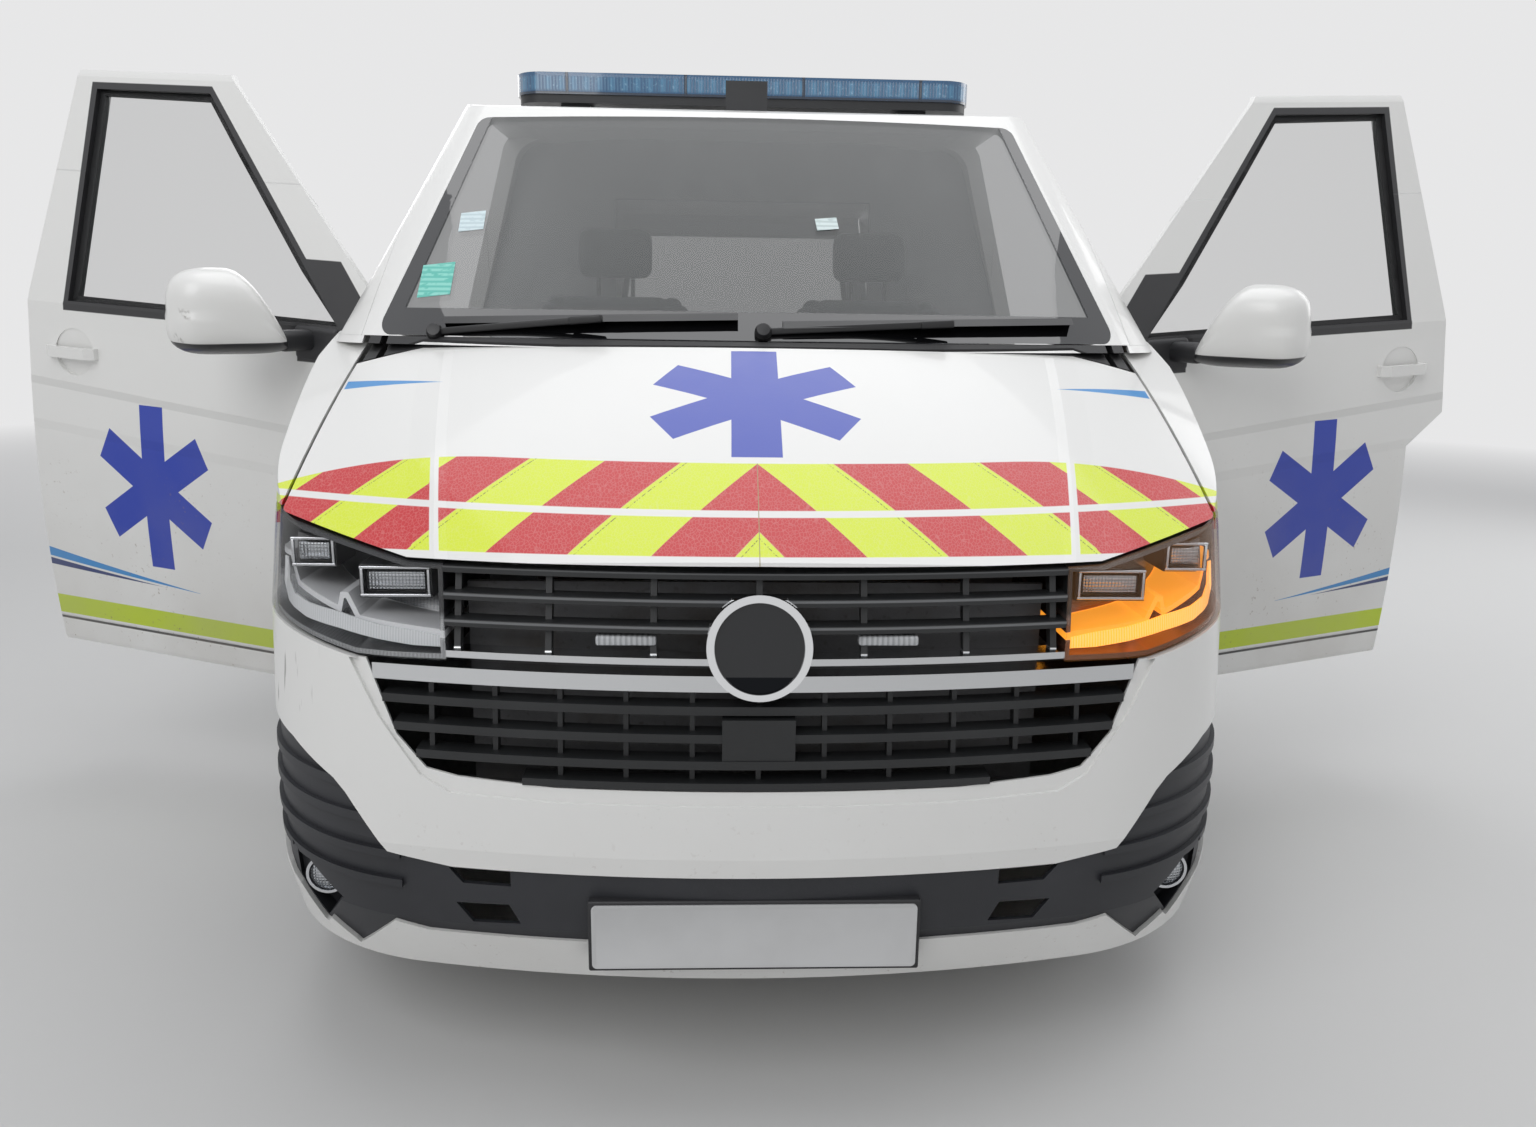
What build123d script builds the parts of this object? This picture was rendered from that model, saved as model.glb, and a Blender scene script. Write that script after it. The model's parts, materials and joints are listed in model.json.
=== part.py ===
"""Short-wheelbase panel van ambulance, built from its real panels, in millimetres.

X is across the van and grows towards its left side, Y grows from nose to tail, Z is up.
A station is a distance behind the nose, so along(station) gives its Y.
"""
import os
from math import asin, atan2, cos, degrees, hypot, radians, sin, sqrt

from build123d import *

# Overall sizes
overall_length = 4904
overall_width = 1904
roof_height = 1925
wheelbase = 3000
front_overhang = 908
track = 1628
ground_clearance = 225

# Heights of the body's main lines
sill_height = 330
crease_height = 1035
belt_height = 1255
header_height = 1822
load_floor_height = 560

# Windscreen, at the centre line
windscreen_base_station = 640
windscreen_top_station = 1435
windscreen_base_half_width = 795
windscreen_top_half_width = 690
windscreen_top_edge = 1800
windscreen_thickness = 6

# Panels
skin_thickness = 6
wall_thickness = 88
upper_wall_thickness = 48
panel_gap = 7
seal_gap = 0.3

# Front doors
door_front_station = 1152
hinge_pillar_rear = 1125
wing_door_gap = 10
door_rear_station = 2240
door_bottom = 318
door_top = 1842
hinge_station = 1192
hinge_inset = 38
hinge_lean = 4
left_door_rest_angle = 76
right_door_rest_angle = 73

# Bonnet
bonnet_half_width = 815
bonnet_thickness = 26
bonnet_nose_station = 75
bonnet_nose_height = 930
bonnet_bulge = 15
bonnet_crown_radius = 3387

# Wheels
tyre_radius = 343
tyre_width = 215
tyre_wall_height = 140
rim_width = 178
arch_radius = 384
arch_liner_radius = 404
liner_thickness = 5

half_length = overall_length / 2
half_width = overall_width / 2
front_axle_station = front_overhang
rear_axle_station = front_overhang + wheelbase


def along(station):
    """The Y of a station behind the nose."""
    return station - half_length


# How the body's outline at a height runs: corner points of the nose, from the half width and the nose
nose_side_step = 392
nose_side_depth = 60
nose_corner_step = 179
nose_corner_depth = 178
nose_rear_step = 69
nose_rear_depth = 395
shoulder_station = 1100
tail_corner_radius = 90

# Height of a lower body section, and how far its nose lies behind the foremost point
nose_sections = (
    (ground_clearance, 62),
    (sill_height, 12),
    (470, 0),
    (800, 38),
    (940, 80),
    (1262, 200),
)

# The upper body's outline at its lowest and highest sections
upper_low = 1240
upper_high = 1965
upper_sections = (
    # height, windscreen centre station, its corner's half width and depth, side's half width and depth, tail
    (upper_low, 619, half_width - 141, 195, half_width - 21, 427, 4892),
    (upper_high, 1635, half_width - 292, 41, half_width - 231, 98, 4784),
)

# Stations where the roof's long curve changes
roof_front_station = 1420
roof_shoulder_station = 2300
roof_rear_station = 4700


def lower_form(inset):
    """The body below its waist as a solid, with its bonnet surface, shrunk by an inset."""
    with BuildPart() as form:
        for height, nose in nose_sections:
            level = height + inset if height == ground_clearance else height
            front = nose + inset
            side = half_width - inset
            with BuildSketch(Plane.XY.offset(level)):
                with BuildLine():
                    start = (side - nose_side_step, along(front + nose_side_depth))
                    corner = (side - nose_corner_step, along(front + nose_corner_depth))
                    end = (side - nose_rear_step, along(front + nose_rear_depth))
                    shoulder = (side, along(shoulder_station))
                    tail_side = (side, along(overall_length - tail_corner_radius))
                    tail_mid = (side - 0.3 * tail_corner_radius, along(overall_length - inset - 0.3 * tail_corner_radius))
                    tail_end = (side - tail_corner_radius, along(overall_length - inset))
                    ThreePointArc(start, corner, end)
                    ThreePointArc(end, ((end[0] + side) / 2 + 9, (end[1] + shoulder[1]) / 2), shoulder)
                    Line(shoulder, tail_side)
                    ThreePointArc(tail_side, tail_mid, tail_end)
                    Line(tail_end, (0, tail_end[1]))
                    mirror(about=Plane.YZ)
                    ThreePointArc(start, (0, along(front)), (-start[0], start[1]))
                make_face()
        loft(ruled=True)
        add(bonnet_cutter(inset), mode=Mode.SUBTRACT)
    return form.part


def bonnet_centre():
    """Centre and radius of the bonnet's arc in side view."""
    run = windscreen_base_station - bonnet_nose_station
    rise = belt_height - bonnet_nose_height
    chord = hypot(run, rise)
    radius = chord**2 / (8 * bonnet_bulge) + bonnet_bulge / 2
    reach = radius - bonnet_bulge
    station = (windscreen_base_station + bonnet_nose_station) / 2 + rise / chord * reach
    height = (belt_height + bonnet_nose_height) / 2 - run / chord * reach
    return station, height, radius


def bonnet_cutter(inset):
    """Everything above the bonnet's crowned surface, as a ring turned about a far axis."""
    station, height, radius = bonnet_centre()
    top = radius - inset
    crown = bonnet_crown_radius
    edge = 1010
    drop = crown - sqrt(crown**2 - edge**2)
    base = Plane(origin=(0, along(station), height), x_dir=(1, 0, 0), z_dir=(0, -1, 0))
    with BuildPart() as ring:
        with BuildSketch(base):
            with BuildLine():
                ThreePointArc((-edge, top - drop), (0, top), (edge, top - drop))
                Polyline((edge, top - drop), (edge, top + 700), (-edge, top + 700), (-edge, top - drop))
            make_face()
        axis = Axis((0, along(station), height), (1, 0, 0))
        first = degrees(asin((station + 250) / radius))
        last = degrees(asin((station - 1085) / radius))
        revolve(axis=axis, revolution_arc=first - last)
    return ring.part.rotate(axis, last)


def upper_form(inset):
    """The body above its waist as a solid, with its raked windscreen and tail, shrunk by an inset."""
    with BuildPart() as form:
        for height, screen, corner_x, corner_d, side_x, side_d, tail in upper_sections:
            front = screen + inset * 1.6
            side = side_x - inset
            tail_radius = 60
            with BuildSketch(Plane.XY.offset(height)):
                with BuildLine():
                    start = (corner_x - inset, along(front + corner_d))
                    end = (side, along(front + side_d))
                    bulge = (0.28 * start[0] + 0.72 * end[0], 0.62 * start[1] + 0.38 * end[1])
                    tail_y = along(tail - inset)
                    ThreePointArc(start, bulge, end)
                    Line(end, (side, tail_y - tail_radius))
                    ThreePointArc(
                        (side, tail_y - tail_radius),
                        (side - 0.3 * tail_radius, tail_y - 0.3 * tail_radius),
                        (side - tail_radius, tail_y),
                    )
                    Line((side - tail_radius, tail_y), (0, tail_y))
                    mirror(about=Plane.YZ)
                    ThreePointArc(start, (0, along(front)), (-start[0], start[1]))
                make_face()
        loft(ruled=True)
    return form.part


def cross_section(low, high):
    """The body's constant cross-section along its length, thinned by a lower and an upper inset."""
    low_side = half_width - low
    high_side = half_width - high
    roof_edge = (half_width - 312 - high * 0.5, roof_height - 32 - high)
    with BuildPart() as prism:
        with BuildSketch(Plane.XZ.offset(-half_length - 50)):
            with BuildLine():
                Line((0, ground_clearance + low), (low_side - 62, ground_clearance + low))
                Line((low_side - 62, ground_clearance + low), (low_side - 27, sill_height + low))
                ThreePointArc((low_side - 27, sill_height + low), (low_side, 760), (low_side - 8, crease_height))
                Line((low_side - 8, crease_height), (low_side - 25, belt_height))
                Line((low_side - 25, belt_height), (high_side - 25, belt_height + 1))
                Line((high_side - 25, belt_height + 1), (high_side - 177, 1780))
                ThreePointArc(
                    (high_side - 177, 1780), (half_width - 214 - high * 0.8, 1857 - high * 0.7), roof_edge
                )
                ThreePointArc(roof_edge, (roof_edge[0] / 2 + 10, roof_height - 8 - high), (0, roof_height - high))
                mirror(about=Plane.YZ)
            make_face()
        extrude(amount=overall_length + 100)
    return prism.part


def side_profile(inset):
    """The roof's long curve, from windscreen to tail, as a prism across the body."""
    with BuildPart() as prism:
        with BuildSketch(Plane.YZ.offset(-half_width - 50)):
            with BuildLine():
                Polyline(
                    (along(-100), 0),
                    (along(-100), 1815 - inset),
                    (along(roof_front_station), 1815 - inset),
                )
                ThreePointArc(
                    (along(roof_front_station), 1815 - inset),
                    (along(1800), 1881 - inset),
                    (along(roof_shoulder_station), 1913 - inset),
                )
                ThreePointArc(
                    (along(roof_shoulder_station), 1913 - inset),
                    (along(3300), roof_height - inset),
                    (along(roof_rear_station), 1893 - inset),
                )
                ThreePointArc(
                    (along(roof_rear_station), 1893 - inset),
                    (along(4772 - inset * 0.7), 1868 - inset * 0.7),
                    (along(4812 - inset), 1790 - inset),
                )
                Polyline(
                    (along(4812 - inset), 1790 - inset),
                    (along(5000), 1000),
                    (along(5000), 0),
                    (along(-100), 0),
                )
            make_face()
        extrude(amount=overall_width + 100)
    return prism.part


def body_form(low, high):
    """The whole body as one solid, shrunk by an inset below and above its waist."""
    with BuildPart() as form:
        add(lower_form(low))
        add(upper_form(high))
        add(cross_section(low, high), mode=Mode.INTERSECT)
        add(side_profile(high), mode=Mode.INTERSECT)
    return form.part


def side_prism(points, inner=560, outer=1010, shrink=0):
    """A closed side-view outline of stations and heights, run across the left side."""
    with BuildPart() as prism:
        with BuildSketch(Plane.YZ.offset(inner)):
            with BuildLine():
                Polyline(*[(along(station), height) for station, height in points], close=True)
            make_face()
            if shrink:
                offset(amount=-shrink, kind=Kind.INTERSECTION)
        extrude(amount=outer - inner)
    return prism.part


def front_prism(points, first, last, shrink=0, rounding=0):
    """A closed front-view outline of half widths and heights, run between two stations."""
    with BuildPart() as prism:
        with BuildSketch(Plane.XZ.offset(-along(last))) as outline:
            with BuildLine():
                Polyline(*points, close=True)
            make_face()
            if rounding:
                fillet(outline.vertices(), rounding)
            if shrink:
                offset(amount=-shrink)
        extrude(amount=last - first)
    return prism.part


def box_between(low, high):
    """A box from one corner to another, with stations for Y."""
    middle = [(a + b) / 2 for a, b in zip(low, high)]
    size = [b - a for a, b in zip(low, high)]
    with BuildPart() as block:
        with Locations((middle[0], along(middle[1]), middle[2])):
            Box(*size)
    return block.part


def cross_cylinder(station, height, radius, first, last):
    """A cylinder that lies across the van between two half widths."""
    with BuildPart() as drum:
        with BuildSketch(Plane.YZ.offset(first)):
            with Locations((along(station), height)):
                Circle(radius)
        extrude(amount=last - first)
    return drum.part


def both_sides(piece):
    """A piece and its mirror image on the other side."""
    return piece + piece.mirror(Plane.YZ)


parts_written = []


def save(piece, name):
    """Label a finished piece and write it."""
    piece.label = name
    export_step(piece, f"parts/{name}.step")
    parts_written.append(name)


os.makedirs("parts", exist_ok=True)

# Forms shared by all panels
outer_form = body_form(0, 0)
skin_form = body_form(skin_thickness, skin_thickness)
wall_form = body_form(wall_thickness, upper_wall_thickness)
flange_depth = 14
flange_form = body_form(flange_depth, flange_depth)
glass_form = body_form(flange_depth + 5, flange_depth + 5)
wall_shell = outer_form - wall_form
skin_shell = outer_form - skin_form
flange_shell = outer_form - flange_form
glass_shell = flange_form - glass_form
print("forms made")

# Door outlines in side view, as stations and heights
door_arc_radius = arch_radius + 40


def arc_points(radius, first, last, count):
    """Points of an arc about the front wheel, between two angles from the ground."""
    return [
        (
            front_axle_station + radius * cos(radians(first + (last - first) * step / count)),
            tyre_radius + radius * sin(radians(first + (last - first) * step / count)),
        )
        for step in range(count + 1)
    ]


def door_outline(notched, grow=0, swing=0):
    """The side-view outline of a closed front door, grown by a gap, and by more along its wheel arc."""
    radius = door_arc_radius - grow - swing
    front = door_front_station - grow
    rear = door_rear_station - 25 + grow
    low = door_bottom - grow
    first = degrees(atan2(low - tyre_radius, sqrt(radius**2 - (low - tyre_radius) ** 2)))
    last = degrees(atan2(sqrt(radius**2 - (front - front_axle_station) ** 2), front - front_axle_station))
    arch = arc_points(radius, first, last, 8)
    rear_low = [(rear, low)]
    if notched:
        step = rear - 105
        rear_low = [(step, low), (step, 925 + 0.5 * grow), (rear + 8, 1010 + 0.5 * grow)]
    return arch + [
        (front, 1288),
        (1690 - grow, door_top + grow),
        (rear - 65, door_top + grow),
        (rear, belt_height + 20),
    ] + rear_low[::-1]


# Window openings in side view
door_window = ((1290, 1264), (1740, 1795), (2085, 1795), (2088, 1264))
middle_window = ((2370, 1264), (2370, 1775), (3190, 1775), (3190, 1264))
rear_window = ((3440, 1264), (3440, 1775), (4560, 1775), (4602, 1264))

# Windscreen opening in front view
windscreen_outline = (
    (-windscreen_base_half_width, belt_height + 3),
    (windscreen_base_half_width, belt_height + 3),
    (windscreen_top_half_width, windscreen_top_edge),
    (-windscreen_top_half_width, windscreen_top_edge),
)
windscreen_hole = front_prism(windscreen_outline, 500, 1600, rounding=30)
windscreen = skin_shell & front_prism(windscreen_outline, 500, 1600, shrink=seal_gap, rounding=30)
save(windscreen, "windscreen")

# Tail openings in rear view
tailgate_seam_station = 4700
tailgate_bottom = 575
tailgate_outline = (
    (-772, tailgate_bottom),
    (772, tailgate_bottom),
    (772, 1240),
    (648, 1960),
    (-648, 1960),
    (-772, 1240),
)
tailgate_glass_outline = ((-655, 1285), (655, 1285), (582, 1740), (-582, 1740))
tail_start = 4640

# Wheel arches
arches = both_sides(
    cross_cylinder(front_axle_station, tyre_radius, arch_radius, 430, 1010)
    + cross_cylinder(rear_axle_station, tyre_radius, arch_radius, 640, 1010)
)
liner_drums = both_sides(
    cross_cylinder(front_axle_station, tyre_radius, arch_liner_radius + liner_thickness, 430, 925)
    + cross_cylinder(rear_axle_station, tyre_radius, arch_liner_radius + liner_thickness, 640, 925)
)

# Body sides, each one panel from windscreen pillar to tail
roof_split = 650
side_region = side_prism(
    (
        (800, belt_height + 1),
        (2200, belt_height + 1),
        (2200, 330),
        (1300, 330),
        (1300, 200),
        (4760, 200),
        (4950, 900),
        (4950, 1400),
        (4700, 2000),
        (1300, 2000),
    ),
    inner=roof_split,
)
hinge_pillar_inner = half_width - 152
hinge_pillar = flange_form & box_between(
    (hinge_pillar_inner, 1030, 600), (1000, hinge_pillar_rear, belt_height + 8)
)
hinge_pillar = hinge_pillar - cross_cylinder(
    front_axle_station, tyre_radius, arch_liner_radius + liner_thickness, 430, 1010
)
rear_bumper_height = 560
tailgate_gap = front_prism(
    (
        (-772 - panel_gap, tailgate_bottom - panel_gap),
        (772 + panel_gap, tailgate_bottom - panel_gap),
        (772 + panel_gap, 1240),
        (648 + panel_gap, 1960),
        (-648 - panel_gap, 1960),
        (-772 - panel_gap, 1240),
    ),
    tail_start,
    5000,
)
rear_bumper_region = box_between((-1000, tail_start, 200), (1000, 5000, rear_bumper_height))
lamp_outline = ((788, 900), (1000, 900), (1000, 1345), (776, 1345), (788, 1240))
lamp_region = front_prism(lamp_outline, 4745, 5000)

tank_flap = ((2138, 700), (2138, 880), (2294, 880), (2294, 700))
flap_hinge_station = 2288
flap_hinge_depth = 10
sliding_outline = (
    (2262, 340),
    (3290, 340),
    (3290, 1265),
    (3270, 1835),
    (2262, 1835),
)
sliding_rail_slot = ((3290, 1125), (4480, 1125), (4480, 1147), (3290, 1147))
sliding_rail_depth = 40


def grown(points, amount):
    """An outline's points pushed away from its middle by an amount in each direction."""
    middle = [(min(p[i] for p in points) + max(p[i] for p in points)) / 2 for i in (0, 1)]
    return [tuple(v + (amount if v > m else -amount) for v, m in zip(p, middle)) for p in points]


flap_pocket = side_prism(((2133, 695), (2133, 885), (2303, 885), (2303, 695)))
flap_groove = side_prism(((2278, 695), (2278, 885), (2303, 885), (2303, 695)), inner=half_width - 24)

# Room in the windscreen pillar for the door's upper front corner, which swings ahead of its hinge line
pillar_relief = side_prism(((1118, 1250), (1118, 1292), (1290, 1440), (1330, 1440), (1330, 1250)))


def flap_barrel(radius, low, high):
    """A cylinder on the tank flap's hinge line."""
    with BuildPart() as barrel:
        with BuildSketch(Plane.XY.offset(low)):
            with Locations((half_width - flap_hinge_depth, along(flap_hinge_station))):
                Circle(radius)
        extrude(amount=high - low)
    return barrel.part


def bodyside(notched, sliding):
    """One body side, on the left, with its door, window, arch and flap openings."""
    wall = wall_shell & side_region
    wall = wall + hinge_pillar
    wall = wall - windscreen_hole - side_prism(door_outline(notched, panel_gap)) - pillar_relief
    wall = wall - tailgate_gap - rear_bumper_region - lamp_region - liner_drums - arches
    wall = wall - side_prism(rear_window)
    if sliding:
        wall = wall - side_prism(grown(sliding_outline, panel_gap))
        wall = wall - side_prism(sliding_rail_slot, inner=half_width - sliding_rail_depth)
    else:
        wall = wall - side_prism(middle_window)
        wall = wall - (flap_pocket & flange_shell) - flap_groove
    return wall


bodyside_left = bodyside(True, False)
bodyside_right = bodyside(False, True).mirror(Plane.YZ)
print("body sides", [len(side.solids()) for side in (bodyside_left, bodyside_right)])

# Roof, between the two body sides
roof_outline = ((-roof_split, 1780), (roof_split, 1780), (roof_split, 2000), (-roof_split, 2000))
roof = wall_shell & front_prism(roof_outline, 1200, tailgate_seam_station - panel_gap)
roof = roof - windscreen_hole


def plan_band(front_edge, rear_edge, half, low, high):
    """A band in plan between two edges, each an arc to its corners and straight from there outwards.

    An edge is its station at the centre, its corner's half width and its corner's station.
    """
    with BuildPart() as band:
        with BuildSketch(Plane.XY.offset(low)):
            with BuildLine():
                for middle, corner_x, corner in (front_edge, rear_edge):
                    ThreePointArc((-corner_x, along(corner)), (0, along(middle)), (corner_x, along(corner)))
                    Line((corner_x, along(corner)), (half, along(corner)))
                    Line((-corner_x, along(corner)), (-half, along(corner)))
                for side in (-half, half):
                    Line((side, along(front_edge[2])), (side, along(rear_edge[2])))
            make_face()
        extrude(amount=high - low)
    return band.part


# Cowl below the windscreen, and the bonnet in front of it
bonnet_rear_step = 22
bonnet_rear_corner_x = 678
bonnet_rear_corner_station = 760
cowl_low = 1190
cowl_half_width = 806
bonnet_rear_edge = (
    windscreen_base_station - bonnet_rear_step,
    bonnet_rear_corner_x,
    bonnet_rear_corner_station,
)
cowl_front_edge = (
    bonnet_rear_edge[0] + panel_gap,
    bonnet_rear_corner_x,
    bonnet_rear_corner_station + panel_gap,
)
cowl_rear_edge = (windscreen_base_station + 60, 790, windscreen_base_station + 244)
behind_bonnet = (1100, 900, 1200)
cowl_panel = outer_form & plan_band(
    cowl_front_edge, cowl_rear_edge, cowl_half_width, cowl_low, belt_height + 0.7
)
bonnet_front_view = (
    (-bonnet_half_width, 968),
    (-560, 923),
    (0, 926),
    (560, 923),
    (bonnet_half_width, 968),
    (bonnet_half_width, 1300),
    (-bonnet_half_width, 1300),
)
bonnet = (outer_form - lower_form(bonnet_thickness)) & front_prism(bonnet_front_view, -50, 900)
bonnet = bonnet - plan_band(bonnet_rear_edge, behind_bonnet, 1000, 1000, 1400)

# Front wings, thin panels from headlight to door
seam = 0.8
wing_inner_edge = bonnet_half_width + panel_gap
bumper_seam = ((537, 200), (537, 560), (442, 792))
wing_region = side_prism(
    (
        (318, 974),
        (318, belt_height + 0.7),
        (door_front_station - wing_door_gap, belt_height + 0.7),
        (door_front_station - wing_door_gap, 700),
        (1345, 560),
        (1345, 330),
        (bumper_seam[0][0] + seam, 330),
        (bumper_seam[1][0] + seam, 560),
        (bumper_seam[2][0] + seam, 792),
        (bumper_seam[2][0] + seam, 974),
    ),
    inner=wing_inner_edge,
)
door_swing_gap = 12
wing_left = (skin_shell & wing_region) - arches
wing_left = wing_left - side_prism(door_outline(True, panel_gap, door_swing_gap))
wing_right = wing_left.mirror(Plane.YZ)

# Front bumper: a painted shell with its grille opening, and a ribbed black trim across it below


def mirrored(points):
    """A closed front-view outline from the points of its left half, given from top to bottom."""
    return tuple(points) + tuple((-x, height) for x, height in reversed(points))


lower_grille_side = ((626, 764), (576, 647), (527, 596), (475, 586), (320, 577))
grille_rim_side = ((655, 764), (605, 676), (536, 586), (487, 561), (320, 555))
bumper_trim_top = ((488, 438), (596, 454), (669, 540), (692, 559), (783, 600), (1000, 640))
bumper_trim_low = ((1000, 400), (828, 337), (687, 246), (679, 238), (594, 324), (537, 311))
bumper_trim_outline = mirrored(bumper_trim_top + bumper_trim_low)
trim_rear = 470
trim_vents = (
    ((394, 433), (496, 433), (473, 406), (394, 406)),
    ((399, 372), (487, 369), (460, 335), (381, 338)),
)
fog_opening = ((807, 401), (693, 338), (747, 266), (800, 330))
fog_centre = (752, 334)
fog_radius = 38
fog_lamp_depth = 22
trim_rib_heights = (397, 449, 505, 556)
trim_rib_height = 14
trim_rib_inner = 575
bumper_front_view = (
    (-1000, 200),
    (1000, 200),
    (1000, 796),
    (865, 796),
    (640, 764),
    (-640, 764),
    (-865, 796),
    (-1000, 796),
)
bumper_side_view = (
    (-50, 200),
    bumper_seam[0],
    bumper_seam[1],
    bumper_seam[2],
    (442, 800),
    (-50, 800),
)
bumper_shell = outer_form - body_form(10, 10)
front_bumper = bumper_shell & front_prism(bumper_front_view, -50, 600)
front_bumper = front_bumper & side_prism(bumper_side_view, inner=-1010, outer=1010)
trim_region = front_prism(bumper_trim_outline, -50, trim_rear) - arches
front_bumper = front_bumper - arches - liner_drums - trim_region
front_bumper = front_bumper - (skin_shell & front_prism(mirrored(grille_rim_side), -50, 300))
front_bumper = front_bumper - front_prism(mirrored(lower_grille_side), -50, 300)

# The trim lies one skin deeper than the paint, and its ribs stand out to the painted surface
bumper_trim = (skin_form - flange_form) & trim_region
for height in trim_rib_heights:
    rib_low = height - trim_rib_height / 2
    rib = box_between((trim_rib_inner, -50, rib_low), (1000, trim_rear, rib_low + trim_rib_height))
    bumper_trim = bumper_trim + (skin_shell & trim_region & both_sides(rib))
for vent in trim_vents:
    bumper_trim = bumper_trim - both_sides(front_prism(vent, -50, 200))

# A pocket behind each fog lamp opening, with the lamp's round body in it
fog_back = 250
fog_wall = 6
fog_pocket = front_prism(fog_opening, 0, fog_back + fog_wall, shrink=-fog_wall)
fog_pocket = (fog_pocket - front_prism(fog_opening, -50, fog_back)) & skin_form
with BuildPart() as fog_lamp:
    with BuildSketch(Plane.XZ.offset(-along(fog_back))):
        with Locations(fog_centre):
            Circle(fog_radius)
    extrude(amount=fog_lamp_depth)
fog_room = front_prism(fog_opening, -50, fog_back + fog_wall + seal_gap, shrink=-fog_wall - seal_gap)
front_bumper = front_bumper - both_sides(fog_room)
bumper_trim = bumper_trim - both_sides(front_prism(fog_opening, -50, fog_back))
bumper_trim = bumper_trim + both_sides(fog_pocket + fog_lamp.part)

# Grilles: curved slats one above the other, joined by uprights behind them
grille_depth = 40
upright_setback = 18
nose_radius = (half_width - nose_side_step) ** 2 / (2 * nose_side_depth) + nose_side_depth / 2


def nose_station(height):
    """How far the nose lies behind the foremost point, at the centre, at a height."""
    for (low, low_nose), (high, high_nose) in zip(nose_sections, nose_sections[1:]):
        if low <= height <= high:
            return low_nose + (high_nose - low_nose) * (height - low) / (high - low)
    return nose_sections[-1][1]


def nose_depth(x):
    """How far the nose's arc falls back at a half width."""
    return nose_radius - sqrt(nose_radius**2 - x**2)


def grille(slats, upright_xs, upright_width, setback=3):
    """Slats given as height, half length and thickness, with uprights that join them."""
    with BuildPart() as frame:
        for height, half, thick in slats:
            front = nose_station(height) + setback
            with BuildSketch(Plane.XY.offset(height - thick / 2)):
                with BuildLine():
                    ends = [
                        (side * half, along(front + step + nose_depth(half)))
                        for step, side in ((0, -1), (0, 1), (grille_depth, 1), (grille_depth, -1))
                    ]
                    ThreePointArc(ends[0], (0, along(front)), ends[1])
                    Line(ends[1], ends[2])
                    ThreePointArc(ends[2], (0, along(front + grille_depth)), ends[3])
                    Line(ends[3], ends[0])
                make_face()
            extrude(amount=thick)
        for x in upright_xs:
            crossed = [height for height, half, thick in slats if half > abs(x)]
            top = max(crossed)
            base = min(crossed)
            with BuildSketch(Plane.YZ.offset(x - upright_width / 2)):
                with BuildLine():
                    fall = nose_depth(x)
                    Polyline(
                        (along(nose_station(base) + fall + setback + upright_setback), base),
                        (along(nose_station(top) + fall + setback + upright_setback), top),
                        (along(nose_station(top) + fall + setback + grille_depth), top),
                        (along(nose_station(base) + fall + setback + grille_depth), base),
                        close=True,
                    )
                make_face()
            extrude(amount=upright_width)
    return frame.part


headlight_outline = (
    (490, 772),
    (499, 917),
    (560, 918),
    (bonnet_half_width, 961),
    (960, 968),
    (960, 804),
    (863, 800),
    (642, 769),
)
lamp_shrink = 0.4
upper_heights = ((782, 11), (830, 12), (870, 12), (910, 10))


def upper_half(height):
    """Half width of the gap between the headlights at a height."""
    (low_x, low), (high_x, high) = headlight_outline[0], headlight_outline[1]
    return low_x + (high_x - low_x) * (height - low) / (high - low)


upper_slats = [(height, upper_half(height - thick / 2), thick) for height, thick in upper_heights]
upper_grille = grille(upper_slats, (-476, -330, -165, 0, 165, 330, 476), 10)

# A plain disc with a raised rim at the middle of the upper grille, on a boss between the slats
disc_height = 806
disc_tilt = 11
disc_radius_outer = 82
disc_radius_inner = 70
disc_thickness = 8
disc_plane = Plane(
    origin=(0, along(nose_station(disc_height) - 3), disc_height),
    x_dir=(1, 0, 0),
    z_dir=(0, -cos(radians(disc_tilt)), sin(radians(disc_tilt))),
)
with BuildPart() as grille_disc:
    with BuildSketch(disc_plane):
        Circle(disc_radius_outer)
    extrude(amount=-disc_thickness)
    with BuildSketch(disc_plane):
        Circle(disc_radius_outer)
        Circle(disc_radius_inner, mode=Mode.SUBTRACT)
    extrude(amount=5)
    with BuildSketch(disc_plane):
        Circle(28)
    extrude(amount=-36)
upper_grille = upper_grille + grille_disc.part
lower_heights = ((748, 26), (706, 14), (662, 14), (620, 14), (586, 12))


def half_at(side_points, height):
    """Half width of an outline at a height, from its left half's points."""
    for (high_x, high), (low_x, low) in zip(side_points, side_points[1:]):
        if low <= height <= high:
            return low_x + (high_x - low_x) * (height - low) / (high - low)
    return side_points[0][0]


lower_slats = [
    (height, half_at(lower_grille_side, height - thick / 2) - 1, thick) for height, thick in lower_heights
]
sensor_front = nose_station(657) + 1
sensor_block = box_between((-57, sensor_front, 621), (57, sensor_front + grille_depth, 694))
with BuildPart() as disc_room:
    with BuildSketch(disc_plane):
        Circle(disc_radius_outer + seal_gap)
    extrude(amount=-disc_thickness - seal_gap)
lower_grille = grille(lower_slats, range(-520, 521, 104), 8) + sensor_block - disc_room.part

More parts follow.
